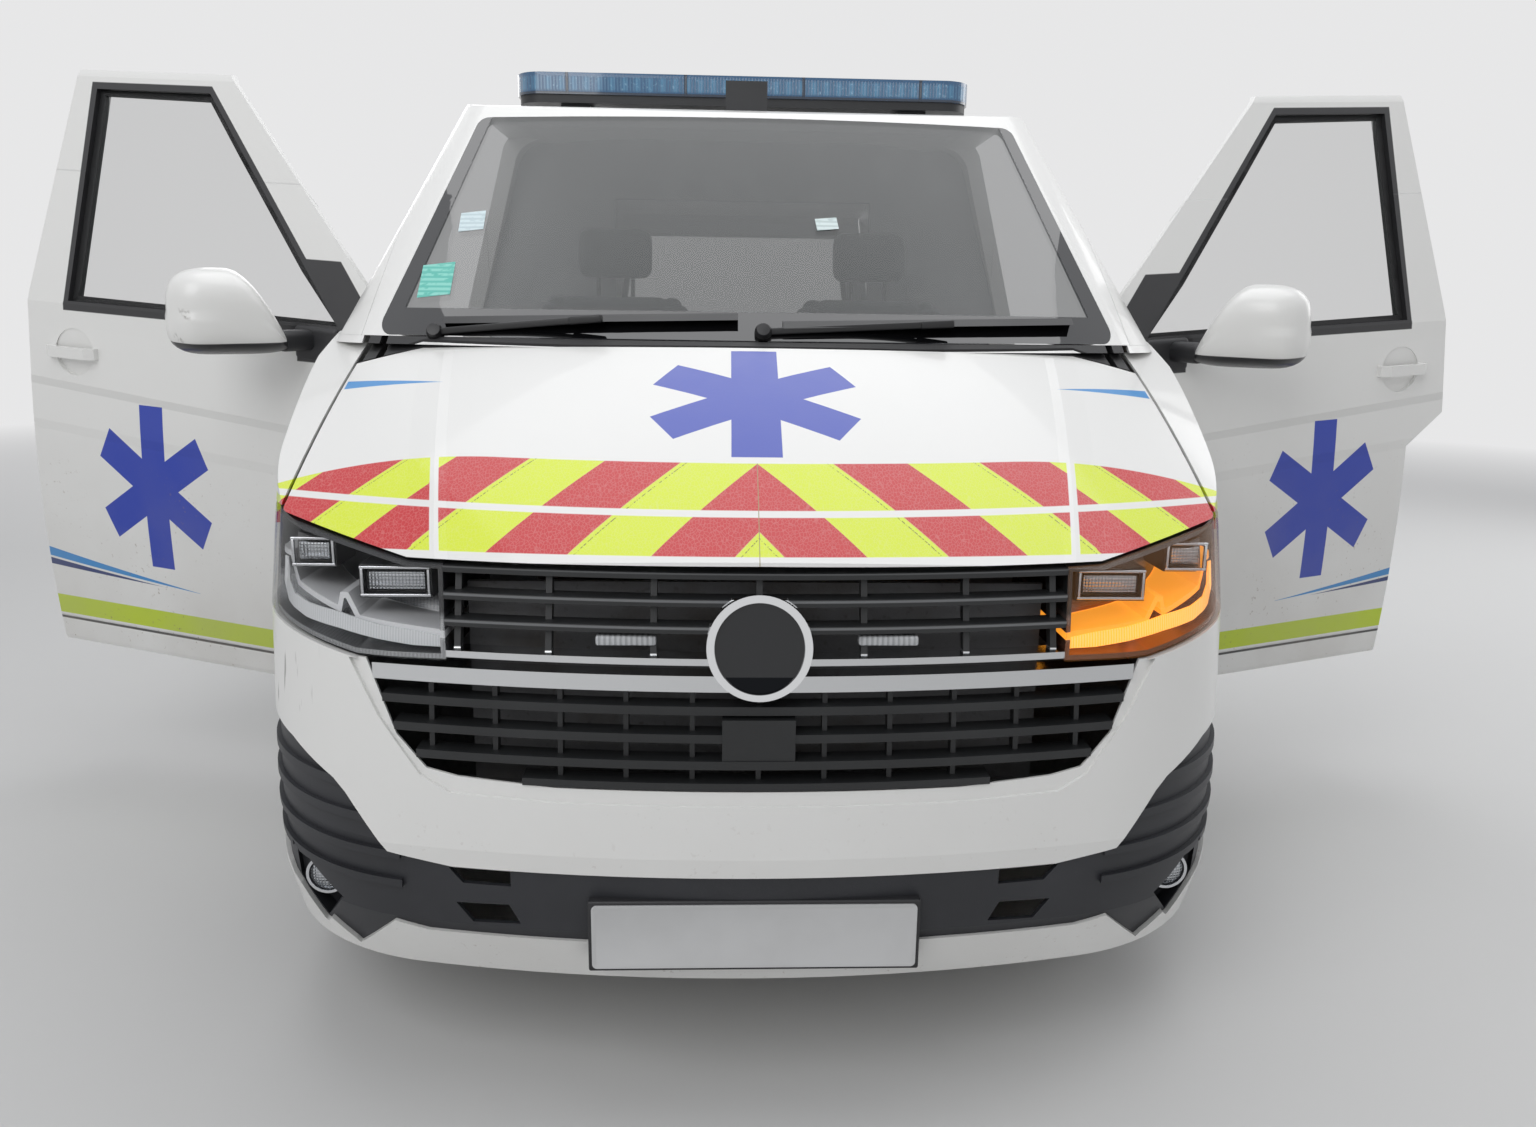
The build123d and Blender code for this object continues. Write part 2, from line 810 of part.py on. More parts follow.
# Headlights, wrapped round the corners of the nose: a clear cover over a bowl with two square modules
headlight_rear = bumper_seam[2][0] + seam - seal_gap
bowl_wall = 8
lamp_block = outer_form & front_prism(headlight_outline, -50, headlight_rear, shrink=lamp_shrink)
lamp_block = lamp_block - front_bumper
lamp_form = body_form(skin_thickness + seal_gap, skin_thickness + seal_gap)
bowl = wall_shell & front_prism(headlight_outline, -50, headlight_rear - bowl_wall, shrink=lamp_shrink + bowl_wall)
lamp_modules = (
    # inner and outer half width, low and high, station of its face
    (529, 645, 850, 905, 172),
    (711, 786, 880, 934, 264),
)
module_depth = 120
module_rim = 7
guide_path = ((494, 810), (643, 821), (667, 853), (677, 852), (681, 830), (777, 852), (806, 893), (850, 886))
guide_width = 9


def lamp_module(inner, outer, low, high, front):
    """A square projector: a block with its face set back inside a rim."""
    block = box_between((inner, front, low), (outer, front + module_depth, high))
    face = box_between(
        (inner + module_rim, front - 1, low + module_rim), (outer - module_rim, front + 12, high - module_rim)
    )
    return block - face


def light_guide():
    """The thin wall in the bowl whose front edge is the running light."""
    with BuildPart() as guide:
        with BuildSketch(Plane.XZ.offset(-along(headlight_rear - bowl_wall))):
            with BuildLine():
                Polyline(*guide_path)
            trace(line_width=guide_width)
        extrude(amount=headlight_rear)
    return guide.part


headlight = (lamp_block & lamp_form) - bowl
for module in lamp_modules:
    headlight = headlight + (lamp_module(*module) & lamp_block & flange_form)
headlight = headlight + (light_guide() & lamp_block & flange_form)
headlights = both_sides(headlight)
headlight_lenses = both_sides(lamp_block & skin_shell)

print("front made")

# Bar handles over round dishes, on the front doors and the sliding door
handle_height = 1135
handle_length = 150
handle_bar_height = 28
handle_seat = half_width - 24
handle_reach = 36
dish_radius = 60
dish_depth = 22
front_handle_station = 1996
sliding_handle_station = 2345


def door_handle(front):
    """A bar handle on the left side, standing on its two ends."""
    outer = handle_seat + handle_reach
    rear = front + handle_length
    with BuildPart() as handle:
        with BuildSketch(Plane.XY.offset(handle_height - handle_bar_height / 2)):
            with BuildLine():
                Polyline(
                    (handle_seat, along(front)),
                    (outer - 14, along(front)),
                    (outer, along(front + 20)),
                    (outer, along(rear - 20)),
                    (outer - 14, along(rear)),
                    (handle_seat, along(rear)),
                    (handle_seat, along(rear - 14)),
                    (outer - 16, along(rear - 26)),
                    (outer - 16, along(front + 26)),
                    (handle_seat, along(front + 14)),
                    close=True,
                )
            make_face()
        extrude(amount=handle_bar_height)
    return handle.part


def handle_dish(front):
    """The round hollow behind a handle."""
    middle = front + handle_length / 2
    return cross_cylinder(middle, handle_height, dish_radius, half_width - dish_depth, 1010)


# Sliding door, closed on the right side
sliding_door = wall_shell & side_prism(sliding_outline)
sliding_door = sliding_door - side_prism(middle_window) - handle_dish(sliding_handle_station)
sliding_door = sliding_door + door_handle(sliding_handle_station)
sliding_door = sliding_door.mirror(Plane.YZ)

# Fixed side glass
glass_panes = [
    glass_shell & side_prism(middle_window, shrink=seal_gap),
    glass_shell & side_prism(rear_window, shrink=seal_gap),
]
side_windows = glass_panes[0] + glass_panes[1]
side_windows = both_sides(side_windows)

# Tank flap, in a shallow pocket behind the left door
fuel_flap = (skin_shell & side_prism(tank_flap)) + flap_barrel(5, 720, 860) - flap_barrel(2.3, 700, 880)
bodyside_left = bodyside_left + flap_barrel(2, 693, 887)

# Tail
tailgate = wall_shell & front_prism(tailgate_outline, tailgate_seam_station, 5000)
tailgate = tailgate - front_prism(tailgate_glass_outline, 4600, 5000, rounding=30)
tailgate_recess_depth = 18
tailgate_recess = ((-290, 965), (290, 965), (290, 1110), (-290, 1110))
tailgate = tailgate - front_prism(tailgate_recess, overall_length - tailgate_recess_depth, 5000, rounding=16)
tailgate_handle = ((-275, 1078), (275, 1078), (275, 1106), (-275, 1106))
tailgate = tailgate + front_prism(
    tailgate_handle, overall_length - tailgate_recess_depth - 4, overall_length - 2, rounding=8
)
tailgate_glass = glass_shell & front_prism(tailgate_glass_outline, 4600, 5000, shrink=seal_gap, rounding=30)
tail_lamps = wall_shell & front_prism(lamp_outline, 4745, 5000, shrink=lamp_shrink)
tail_lamps = both_sides(tail_lamps)
rear_bumper = wall_shell & box_between(
    (-1000, tail_start + seam, 200), (1000, 5000, rear_bumper_height - seam)
)
print("tail made")

# Front doors: an outer flange, a deeper inner box set in from it, and hinge pockets
hinge_heights = (790, 1130)
hinge_x = half_width - hinge_inset
hinge_base_height = 960
pin_radius = 4
knuckle_radius = 8
pin_clearance = 0.3


def hinge_direction(side):
    """Unit vector up a front door's hinge line, which leans inwards at its top."""
    return Vector(-side * sin(radians(hinge_lean)), 0, cos(radians(hinge_lean)))


def hinge_point(side, height):
    """The hinge line's point at a height."""
    lean = (height - hinge_base_height) * sin(radians(hinge_lean)) / cos(radians(hinge_lean))
    return Vector(side * (hinge_x - lean), along(hinge_station), height)


def hinge_axis(side):
    """The hinge line of a front door."""
    return Axis(hinge_point(side, hinge_base_height), hinge_direction(side))


def hinge_plane(height):
    """A plane square to the left hinge line, with its X across the van."""
    direction = hinge_direction(1)
    return Plane(origin=hinge_point(1, height), x_dir=Vector(direction.Z, 0, -direction.X), z_dir=direction)


def hinge_bracket(height):
    """The pillar's half of a hinge: an elbow with a pin."""
    plane = hinge_plane(height)
    arm_height = 44
    slot_height = 25
    with BuildPart() as bracket:
        with BuildSketch(plane.offset(-arm_height / 2)):
            with BuildLine():
                Polyline(
                    (-82, hinge_pillar_rear - 1 - hinge_station),
                    (-62, hinge_pillar_rear - 1 - hinge_station),
                    (-62, -8),
                    (0, -8),
                    (0, 8),
                    (-82, 8),
                    close=True,
                )
            make_face()
            Circle(8)
        extrude(amount=arm_height)
        with BuildSketch(plane.offset(-slot_height / 2)):
            Circle(knuckle_radius + 5)
        extrude(amount=slot_height, mode=Mode.SUBTRACT)
        with BuildSketch(plane.offset(-arm_height / 2)):
            Circle(pin_radius)
        extrude(amount=arm_height)
    return bracket.part


def hinge_leaf(height):
    """The door's half of a hinge: an eye on a strap."""
    plane = hinge_plane(height)
    leaf_height = 24
    with BuildPart() as leaf:
        with BuildSketch(plane.offset(-leaf_height / 2)):
            Circle(knuckle_radius)
            with Locations((-4, 24)):
                Rectangle(8, 48)
        extrude(amount=leaf_height)
        with BuildSketch(plane.offset(-leaf_height / 2)):
            Circle(pin_radius + pin_clearance)
        extrude(amount=leaf_height, mode=Mode.SUBTRACT)
    return leaf.part


hinge_pockets = [
    box_between((hinge_pillar_inner - 20, 1140, height - 32), (hinge_point(1, height).X + 13, 1214, height + 32))
    for height in hinge_heights
]


def front_door(notched):
    """A closed left front door with its window, hinge leaves and handle."""
    outline = door_outline(notched)
    door = flange_shell & side_prism(outline)
    door = door + (wall_shell & side_prism(outline, shrink=24))
    door = door - side_prism(door_window)
    for height, pocket in zip(hinge_heights, hinge_pockets):
        door = door - pocket
        door = door + hinge_leaf(height)
    door = door - handle_dish(front_handle_station)
    return door + door_handle(front_handle_station)


for height in hinge_heights:
    bodyside_left = bodyside_left + hinge_bracket(height)
    bodyside_right = bodyside_right + hinge_bracket(height).mirror(Plane.YZ)

door_glass = glass_shell & side_prism(door_window, shrink=seal_gap)

# Door mirrors: a rounded housing, swept back, on an arm from the door
mirror_x = 1090
mirror_station = 1457
mirror_sweep = 34.6
mirror_width = 255
mirror_depth = 150
mirror_low = 1195
mirror_high = 1390
mirror_edge = 24
mirror_arm = ((890, 1370, 1216), (1010, 1420, 1258))


def door_mirror():
    """The left door's mirror, closed in by a rounded shell."""
    with BuildPart() as mirror_body:
        with BuildSketch(Plane.XY.offset(mirror_low)):
            with Locations((mirror_x, along(mirror_station))):
                RectangleRounded(mirror_width, mirror_depth, mirror_depth * 0.4, rotation=mirror_sweep)
        extrude(amount=mirror_high - mirror_low)
        chamfer(mirror_body.faces().sort_by(Axis.Z)[-1].edges(), mirror_edge)
        chamfer(mirror_body.faces().sort_by(Axis.Z)[0].edges(), mirror_edge / 2)
    return mirror_body.part + box_between(*mirror_arm)


seated_form = body_form(-seal_gap, -seal_gap)
mirror_piece = door_mirror() - seated_form
print("doors made")


def place_door(piece, side, angle):
    """Turn a closed door's piece, given on the left, to its rest angle on a side."""
    placed = piece if side > 0 else piece.mirror(Plane.YZ)
    return placed.rotate(hinge_axis(side), -side * angle)


left_door = front_door(True)
right_door = front_door(False)
doors = (
    ("left", 1, left_door_rest_angle, left_door),
    ("right", -1, right_door_rest_angle, right_door),
)
for side_name, side, angle, door in doors:
    save(place_door(door, side, angle), f"front_door_{side_name}")
    save(place_door(door_glass, side, angle), f"door_glass_{side_name}")
    save(place_door(mirror_piece, side, angle), f"door_mirror_{side_name}")


# Tailgate hinges: barrels on the roof's rear edge, with a leaf on the roof and one on the tailgate
tailgate_hinge_height = 1903
tailgate_hinge_xs = (-430, 430)
tailgate_hinge_length = 70


def tailgate_hinge(x, first, last, on_roof):
    """One half of a hinge barrel with its leaf, forward on the roof or back on the tailgate."""
    seam_middle = tailgate_seam_station - panel_gap / 2
    leaf_reach = -48 if on_roof else 48
    with BuildPart() as half:
        with BuildSketch(Plane.YZ.offset(x + first)):
            with Locations((along(seam_middle), tailgate_hinge_height)):
                Circle(8)
            with Locations((along(seam_middle) + leaf_reach / 2, tailgate_hinge_height - 5)):
                Rectangle(abs(leaf_reach), 6)
            with Locations((along(seam_middle) + leaf_reach * 0.8, tailgate_hinge_height - 14)):
                Rectangle(abs(leaf_reach) * 0.4, 24)
        extrude(amount=last - first)
        if on_roof:
            with BuildSketch(Plane.YZ.offset(x + first)):
                with Locations((along(seam_middle), tailgate_hinge_height)):
                    Circle(4)
            extrude(amount=tailgate_hinge_length)
        else:
            with BuildSketch(Plane.YZ.offset(x + first)):
                with Locations((along(seam_middle), tailgate_hinge_height)):
                    Circle(4.3)
            extrude(amount=last - first, mode=Mode.SUBTRACT)
    return half.part


for x in tailgate_hinge_xs:
    roof = roof + tailgate_hinge(x, 0, tailgate_hinge_length / 2 - 0.5, True)
    tailgate = tailgate + tailgate_hinge(x, tailgate_hinge_length / 2, tailgate_hinge_length, False)

# Bonnet hinges at its rear corners, on posts that stand on the cowl
bonnet_hinge_station = 860
bonnet_hinge_height = 1240
bonnet_hinge_x = 770
bonnet_arm_reach = 210


def bonnet_hinge_arm():
    """The bonnet's left hinge strap, from its eye forward under the panel."""
    with BuildPart() as arm:
        with BuildSketch(Plane.YZ.offset(bonnet_hinge_x)):
            with BuildLine():
                Polyline(
                    (along(bonnet_hinge_station), bonnet_hinge_height - 26),
                    (along(bonnet_hinge_station - 30), bonnet_hinge_height - 56),
                    (along(bonnet_hinge_station - bonnet_arm_reach), bonnet_hinge_height - 120),
                    (along(bonnet_hinge_station - bonnet_arm_reach), bonnet_hinge_height - 100),
                    (along(bonnet_hinge_station - 120), bonnet_hinge_height - 54),
                    (along(bonnet_hinge_station - 35), bonnet_hinge_height - 44),
                    (along(bonnet_hinge_station), bonnet_hinge_height - 6),
                    close=True,
                )
            make_face()
            with Locations((along(bonnet_hinge_station), bonnet_hinge_height - 16)):
                Circle(11)
                Circle(6.3, mode=Mode.SUBTRACT)
        extrude(amount=8)
    return arm.part


def bonnet_hinge_post():
    """The cowl's left hinge post with its pin."""
    with BuildPart() as post:
        with BuildSketch(Plane.YZ.offset(bonnet_hinge_x + 9)):
            with BuildLine():
                Polyline(
                    (along(bonnet_hinge_station - 16), bonnet_hinge_height - 110),
                    (along(bonnet_hinge_station + 16), bonnet_hinge_height - 110),
                    (along(bonnet_hinge_station + 16), bonnet_hinge_height - 16),
                    (along(bonnet_hinge_station - 16), bonnet_hinge_height - 16),
                    close=True,
                )
            make_face()
            with Locations((along(bonnet_hinge_station), bonnet_hinge_height - 16)):
                Circle(14)
        extrude(amount=8)
        with BuildSketch(Plane.YZ.offset(bonnet_hinge_x - 2)):
            with Locations((along(bonnet_hinge_station), bonnet_hinge_height - 16)):
                Circle(6)
        extrude(amount=14)
    return post.part


cowl_panel = cowl_panel - both_sides(
    box_between(
        (bonnet_hinge_x - 8, bonnet_hinge_station - 200, 1100),
        (bonnet_hinge_x + 8.5, bonnet_hinge_station + 24, bonnet_hinge_height + 30),
    )
)
bonnet = bonnet + both_sides(bonnet_hinge_arm())
cowl_panel = cowl_panel + both_sides(bonnet_hinge_post())

# Underbody: floor, rails, firewall and wheel housings
floor_thickness = 40
floor_half = 870
doorway_floor_half = 844
doorway_floor_rear = 2240
rail_x = 405


def wheelhouse(station, inner):
    """The left wheel housing: a half drum over the tyre with its inner wall."""
    with BuildPart() as house:
        with BuildSketch(Plane.YZ.offset(inner)):
            with Locations((along(station), tyre_radius)):
                Circle(arch_liner_radius + liner_thickness)
                Circle(arch_liner_radius, mode=Mode.SUBTRACT)
                with Locations((0, -300)):
                    Rectangle(1000, 600, mode=Mode.SUBTRACT)
        extrude(amount=925 - inner)
        with BuildSketch(Plane.YZ.offset(inner)):
            with Locations((along(station), tyre_radius)):
                Circle(arch_liner_radius + liner_thickness)
                with Locations((0, -250 + 220)):
                    Rectangle(1000, 500, mode=Mode.SUBTRACT)
        extrude(amount=liner_thickness)
    return house.part & flange_form


tower_low = (528, 838, 690)
tower_high = (700, 978, 1000)
tower_wall = 6
rear_house_inner = 655
front_house_inner = 440

floor_plate = box_between(
    (-floor_half, 1250, load_floor_height - floor_thickness), (floor_half, tail_start + 40, load_floor_height)
)
floor_plate = floor_plate & wall_form
floor_plate = floor_plate - both_sides(
    box_between((doorway_floor_half, 1200, 400), (1000, doorway_floor_rear, load_floor_height + 10))
)
floor_plate = floor_plate - both_sides(
    cross_cylinder(
        front_axle_station, tyre_radius, arch_liner_radius + liner_thickness, front_house_inner, 1000
    )
    + cross_cylinder(
        rear_axle_station, tyre_radius, arch_liner_radius + liner_thickness, rear_house_inner, 1000
    )
)
toe_profile = (
    (1250, load_floor_height - floor_thickness),
    (1250, load_floor_height),
    (1010, load_floor_height + 20),
    (835, 780),
    (835, cowl_low - 5),
    (822, cowl_low - 5),
    (822, 770),
    (1000, load_floor_height - floor_thickness),
)
toe_board = side_prism(toe_profile, inner=-front_house_inner, outer=front_house_inner)
firewall = box_between((-838, 822, 780), (838, 835, cowl_low - seal_gap))
hinge_notch_height = 1172
firewall = firewall - both_sides(
    box_between((bonnet_hinge_x - 8, 800, hinge_notch_height), (bonnet_hinge_x + 16, 850, cowl_low + 10))
)
house = wheelhouse(front_axle_station, front_house_inner)
tower_outer = box_between(tower_low, tower_high)
tower_inner = box_between(
    (tower_low[0] + tower_wall, tower_low[1] + tower_wall, 500),
    (tower_high[0] - tower_wall, tower_high[1] - tower_wall, tower_high[2] - tower_wall),
)
house = (house + (tower_outer - cross_cylinder(front_axle_station, tyre_radius, arch_liner_radius, 0, 1000)))
house = house - tower_inner
rear_house = wheelhouse(rear_axle_station, rear_house_inner)
firewall = firewall - both_sides(
    cross_cylinder(front_axle_station, tyre_radius, arch_liner_radius, front_house_inner, 1000) + tower_inner
)
underbody = floor_plate + toe_board + firewall
underbody = underbody + both_sides(house + rear_house)
front_rail = box_between((rail_x - 25, 150, 430), (rail_x + 25, 1280, 540))
rear_rail = box_between((500, 1300, 430), (560, 4610, load_floor_height - floor_thickness))
underbody = underbody + both_sides(front_rail + rear_rail)
underbody = underbody + box_between((-430, 1255, 430), (430, 1300, load_floor_height - floor_thickness))
radiator_support = box_between((-640, 150, 430), (640, 178, 540)) + box_between((-470, 165, 540), (470, 178, 880))
underbody = underbody + radiator_support

# Tow bar fixing plate under the tail, with its four bolt holes
tow_plate_station = 4604
tow_bolt_radius = 6.5
tow_bolt_x = 60
tow_bolt_z = 30
tow_plate_height = 470
with BuildPart() as tow_plate:
    with BuildSketch(Plane.XZ.offset(-along(tow_plate_station + 12))):
        with Locations((0, tow_plate_height)):
            Rectangle(1120, 100)
            with GridLocations(2 * tow_bolt_x, 2 * tow_bolt_z, 2, 2):
                Circle(tow_bolt_radius, mode=Mode.SUBTRACT)
    extrude(amount=12)
underbody = underbody + tow_plate.part
print("underbody", len(underbody.solids()))

# Engine, as one plain block on the front rails
engine_half = rail_x - 25 - seal_gap
engine_block = box_between((-engine_half, 300, 330), (engine_half, 720, 860))

# Steering axis: a lower ball joint and a strut top
ball_x = 740
ball_height = 235
strut_top_x = 585
strut_top_height = 975
steer_lean = degrees(atan2(ball_x - strut_top_x, strut_top_height - ball_height))
ball_radius = 12
hub_radius = 45
hub_face_x = 789
disc_radius = 150


def steer_point(height):
    """The left steering axis's point at a height."""
    share = (height - ball_height) / (strut_top_height - ball_height)
    return Vector(ball_x + (strut_top_x - ball_x) * share, along(front_axle_station), height)


def steer_plane(height):
    """A plane square to the left steering axis."""
    direction = (steer_point(strut_top_height) - steer_point(ball_height)).normalized()
    return Plane(
        origin=steer_point(height), x_dir=Vector(direction.Z, 0, -direction.X), z_dir=direction
    )


with BuildPart() as knuckle:
    with BuildSketch(Plane.XZ.offset(-along(front_axle_station) - 34)):
        with BuildLine():
            Polyline(
                (724, 262),
                (752, 262),
                (768, 300),
                (768, 400),
                (712, 505),
                (688, 560),
                (650, 560),
                (655, 500),
                (715, 390),
                (712, 300),
                close=True,
            )
        make_face()
    extrude(amount=68)
    with BuildSketch(Plane.YZ.offset(740)):
        with Locations((along(front_axle_station), tyre_radius)):
            Circle(hub_radius)
    extrude(amount=hub_face_x - 740)
    with BuildSketch(steer_plane(212)):
        Circle(ball_radius)
    extrude(amount=62)
    with BuildSketch(steer_plane(545)):
        Circle(21)
    extrude(amount=180)
    with BuildSketch(steer_plane(715)):
        Circle(58)
    extrude(amount=230)
    with BuildSketch(steer_plane(940)):
        Circle(14)
    extrude(amount=46)
    with BuildSketch(Plane.YZ.offset(755)):
        with BuildLine():
            CenterArc((along(front_axle_station), tyre_radius), 168, 150, 60)
            CenterArc((along(front_axle_station), tyre_radius), 96, 150, 60)
            for angle in (150, 210):
                Line(
                    (
                        along(front_axle_station) + 96 * cos(radians(angle)),
                        tyre_radius + 96 * sin(radians(angle)),
                    ),
                    (
                        along(front_axle_station) + 168 * cos(radians(angle)),
                        tyre_radius + 168 * sin(radians(angle)),
                    ),
                )
        make_face()
        with Locations((along(front_axle_station - 70), tyre_radius)):
            Rectangle(70, 50)
    extrude(amount=16)
knuckle_left = knuckle.part

with BuildPart() as strut_hole:
    with BuildSketch(steer_plane(930)):
        Circle(14.3)
    extrude(amount=100)
underbody = underbody - both_sides(strut_hole.part)

# Front axle carrier: a cross beam with one lower arm a side, each ending in a ball socket
with BuildPart() as carrier:
    with BuildSketch(Plane.XY.offset(236)):
        with Locations((0, along(front_axle_station + 10))):
            Rectangle(800, 200)
            Rectangle(560, 90, mode=Mode.SUBTRACT)
    extrude(amount=60)
    with BuildSketch(Plane.XY.offset(236)):
        for x_sign in (-1, 1):
            with BuildLine():
                Polyline(
                    (x_sign * 380, along(front_axle_station - 60)),
                    (x_sign * 380, along(front_axle_station + 100)),
                    (x_sign * 480, along(front_axle_station + 40)),
                    (x_sign * 739, along(front_axle_station + 22)),
                    (x_sign * 739, along(front_axle_station - 22)),
                    (x_sign * 480, along(front_axle_station - 24)),
                    close=True,
                )
            make_face()
    extrude(amount=-22)
    with BuildSketch(Plane.XY.offset(214)):
        with Locations((-ball_x, along(front_axle_station)), (ball_x, along(front_axle_station))):
            Circle(24)
    extrude(amount=22)
with BuildPart() as ball_hole:
    with BuildSketch(steer_plane(190)):
        Circle(ball_radius + pin_clearance)
    extrude(amount=80)
front_axle_carrier = carrier.part - both_sides(ball_hole.part)
carrier_posts = both_sides(box_between((380, front_axle_station - 60, 290), (400, front_axle_station + 60, 430 - seal_gap)))
front_axle_carrier = front_axle_carrier + carrier_posts

# Rear axle: a cross beam, trailing arms and hub stubs
with BuildPart() as rear_beam:
    with BuildSketch(Plane.YZ.offset(-600)):
        with Locations((along(rear_axle_station - 230), 384)):
            RectangleRounded(90, 84, 20)
    extrude(amount=1200)
    for x_sign in (-1, 1):
        with BuildSketch(Plane.YZ.offset(x_sign * 620 - 28)):
            with BuildLine():
                Polyline(
                    (along(rear_axle_station - 300), 350),
                    (along(rear_axle_station - 300), 430),
                    (along(rear_axle_station - 120), 420),
                    (along(rear_axle_station + 50), tyre_radius + 50),
                    (along(rear_axle_station + 50), tyre_radius - 50),
                    (along(rear_axle_station - 120), 330),
                    close=True,
                )
            make_face()
        extrude(amount=56)
        with BuildSketch(Plane.YZ.offset(x_sign * 640)):
            with Locations((along(rear_axle_station), tyre_radius)):
                Circle(hub_radius)
        extrude(amount=x_sign * (hub_face_x - 640))
rear_axle = rear_beam.part + both_sides(
    box_between((500, rear_axle_station - 265, 420), (560, rear_axle_station - 195, 430 - seal_gap))
)

# Wheels: a pressed rim with round vents, a brake disc behind it and a tyre round it
wheel_x = track / 2
rim_bead_radius = 205
bead_half = 78.6
flange_radius = 218
tread_half = 82
rim_profile = (
    (-89, 216), (-79, 216), (-79, 204.6), (0, 188), (79, 204.6), (79, 216), (89, 216), (80, 192),
    (44, 178), (44, 104), (28, 78), (28, 0), (-24.5, 0), (-24.5, 58), (20, 82), (34, 104), (34, 176), (-80, 192),
)


def wheel_rim(x, station, turn):
    """A rim centred at a half width; turn is 1 where its face looks to the left."""
    plane = Plane(origin=(x, along(station), tyre_radius), x_dir=(turn, 0, 0), z_dir=(0, -turn, 0))
    with BuildPart() as rim:
        with BuildSketch(plane):
            with BuildLine():
                Polyline(*rim_profile, close=True)
            make_face()
        revolve(axis=Axis((x, along(station), tyre_radius), (1, 0, 0)))
        with BuildSketch(Plane.YZ.offset(x)):
            with Locations((along(station), tyre_radius)):
                with PolarLocations(141, 8):
                    Circle(14)
        extrude(amount=turn * 90, mode=Mode.SUBTRACT)
        with BuildSketch(Plane.YZ.offset(x - turn * 39)):
            with Locations((along(station), tyre_radius)):
                Circle(disc_radius)
                Circle(55.5, mode=Mode.SUBTRACT)
        extrude(amount=turn * 25)
    return rim.part


def wheel_tyre(x, station):
    """A tyre centred at a half width."""
    half = tyre_width / 2
    plane = Plane(origin=(x, along(station), tyre_radius), x_dir=(1, 0, 0), z_dir=(0, -1, 0))
    with BuildPart() as tyre:
        with BuildSketch(plane):
            with BuildLine():
                Polyline(
                    (-bead_half, rim_bead_radius),
                    (-bead_half, flange_radius),
                    (-half, 268),
                    (-102, 318),
                    (-tread_half, tyre_radius),
                    (tread_half, tyre_radius),
                    (102, 318),
                    (half, 268),
                    (bead_half, flange_radius),
                    (bead_half, rim_bead_radius),
                    close=True,
                )
            make_face()
        revolve(axis=Axis((x, along(station), tyre_radius), (1, 0, 0)))
    return tyre.part


wheels = (
    ("front_left", 1, front_axle_station),
    ("front_right", -1, front_axle_station),
    ("rear_left", 1, rear_axle_station),
    ("rear_right", -1, rear_axle_station),
)
for wheel_name, side, station in wheels:
    save(wheel_rim(side * wheel_x, station, side), f"rim_{wheel_name}")
    save(wheel_tyre(side * wheel_x, station), f"tyre_{wheel_name}")
save(knuckle_left, "knuckle_left")
save(knuckle_left.mirror(Plane.YZ), "knuckle_right")
print("running gear made")

# Warning light bar across the roof, on two feet
bar_front = 2030
bar_rear = 2225
bar_half = 700
bar_low = 1938
bar_high = 2024
bar_split = 1962
foot_x = 520


def bar_layer(low, high, inset):
    """One layer of the light bar: a long plan shape with round ends."""
    with BuildPart() as layer:
        with BuildSketch(Plane.XY.offset(low)):
            with Locations((0, along((bar_front + bar_rear) / 2))):
                RectangleRounded(
                    2 * (bar_half - inset), bar_rear - bar_front - 2 * inset, (bar_rear - bar_front) / 2 - inset - 12
                )
        extrude(amount=high - low)
    return layer.part


bar_base = bar_layer(bar_low, bar_split, 6)
bar_feet = both_sides(box_between((foot_x - 45, bar_front + 40, 1860), (foot_x + 45, bar_rear - 40, bar_low)))
light_bar_base = bar_base + (bar_feet - outer_form)
light_bar = bar_layer(bar_split, bar_high, 0)

# Small aerial block on the roof ahead of the light bar
roof_aerial = box_between((-58, 1700, 1860), (58, 1790, 1946)) - seated_form

# Wipers, lying at the foot of the windscreen
wiper_seat = 0.4
wiper_shell = upper_form(-wiper_seat - 14) - upper_form(-wiper_seat)
wiper_strips = front_prism(((-640, 1283), (-30, 1298), (-30, 1312), (-640, 1297)), 560, 900) + front_prism(
    ((60, 1283), (690, 1298), (690, 1312), (60, 1297)), 560, 900
)
wipers = wiper_shell & wiper_strips

# Cab: dashboard, column and steering wheel, seats and the partition behind them
dash_profile = (
    (842, 1165), (900, 1178), (1060, 1160), (1180, 1120), (1195, 1060), (1140, 1000), (1110, 820), (1010, 820),
    (1000, 1010), (842, 1010),
)
dash_half = hinge_pillar_inner - seal_gap
dashboard = side_prism(dash_profile, inner=-dash_half, outer=dash_half)
steering_x = 400
column_low = Vector(steering_x, along(1060), 830)
column_high = Vector(steering_x, along(1345), 1065)
column_direction = (column_high - column_low).normalized()
steering_gap = 0.4


def column_plane(distance):
    """A plane square to the steering column, a distance past its top end."""
    return Plane(
        origin=column_high + column_direction * distance, x_dir=(1, 0, 0), z_dir=column_direction
    )


with BuildPart() as column:
    with BuildSketch(column_plane(-300)):
        Circle(32)
    extrude(amount=300)
dashboard = dashboard + column.part
post_room = box_between(
    (bonnet_hinge_x + 8, bonnet_hinge_station - 40, bonnet_hinge_height - 112),
    (bonnet_hinge_x + 18, bonnet_hinge_station + 18, bonnet_hinge_height),
)
dashboard = dashboard - both_sides(post_room)
with BuildPart() as steering_wheel:
    with BuildSketch(column_plane(steering_gap)):
        Circle(38)
    extrude(amount=30)
    with BuildSketch(column_plane(34)):
        Circle(187)
        Circle(165, mode=Mode.SUBTRACT)
    extrude(amount=24)
    with BuildSketch(column_plane(26)):
        Circle(62)
        for angle in (0, 180, 270):
            with PolarLocations(0, 1, start_angle=angle):
                with Locations((115, 0)):
                    Rectangle(120, 34)
    extrude(amount=16)


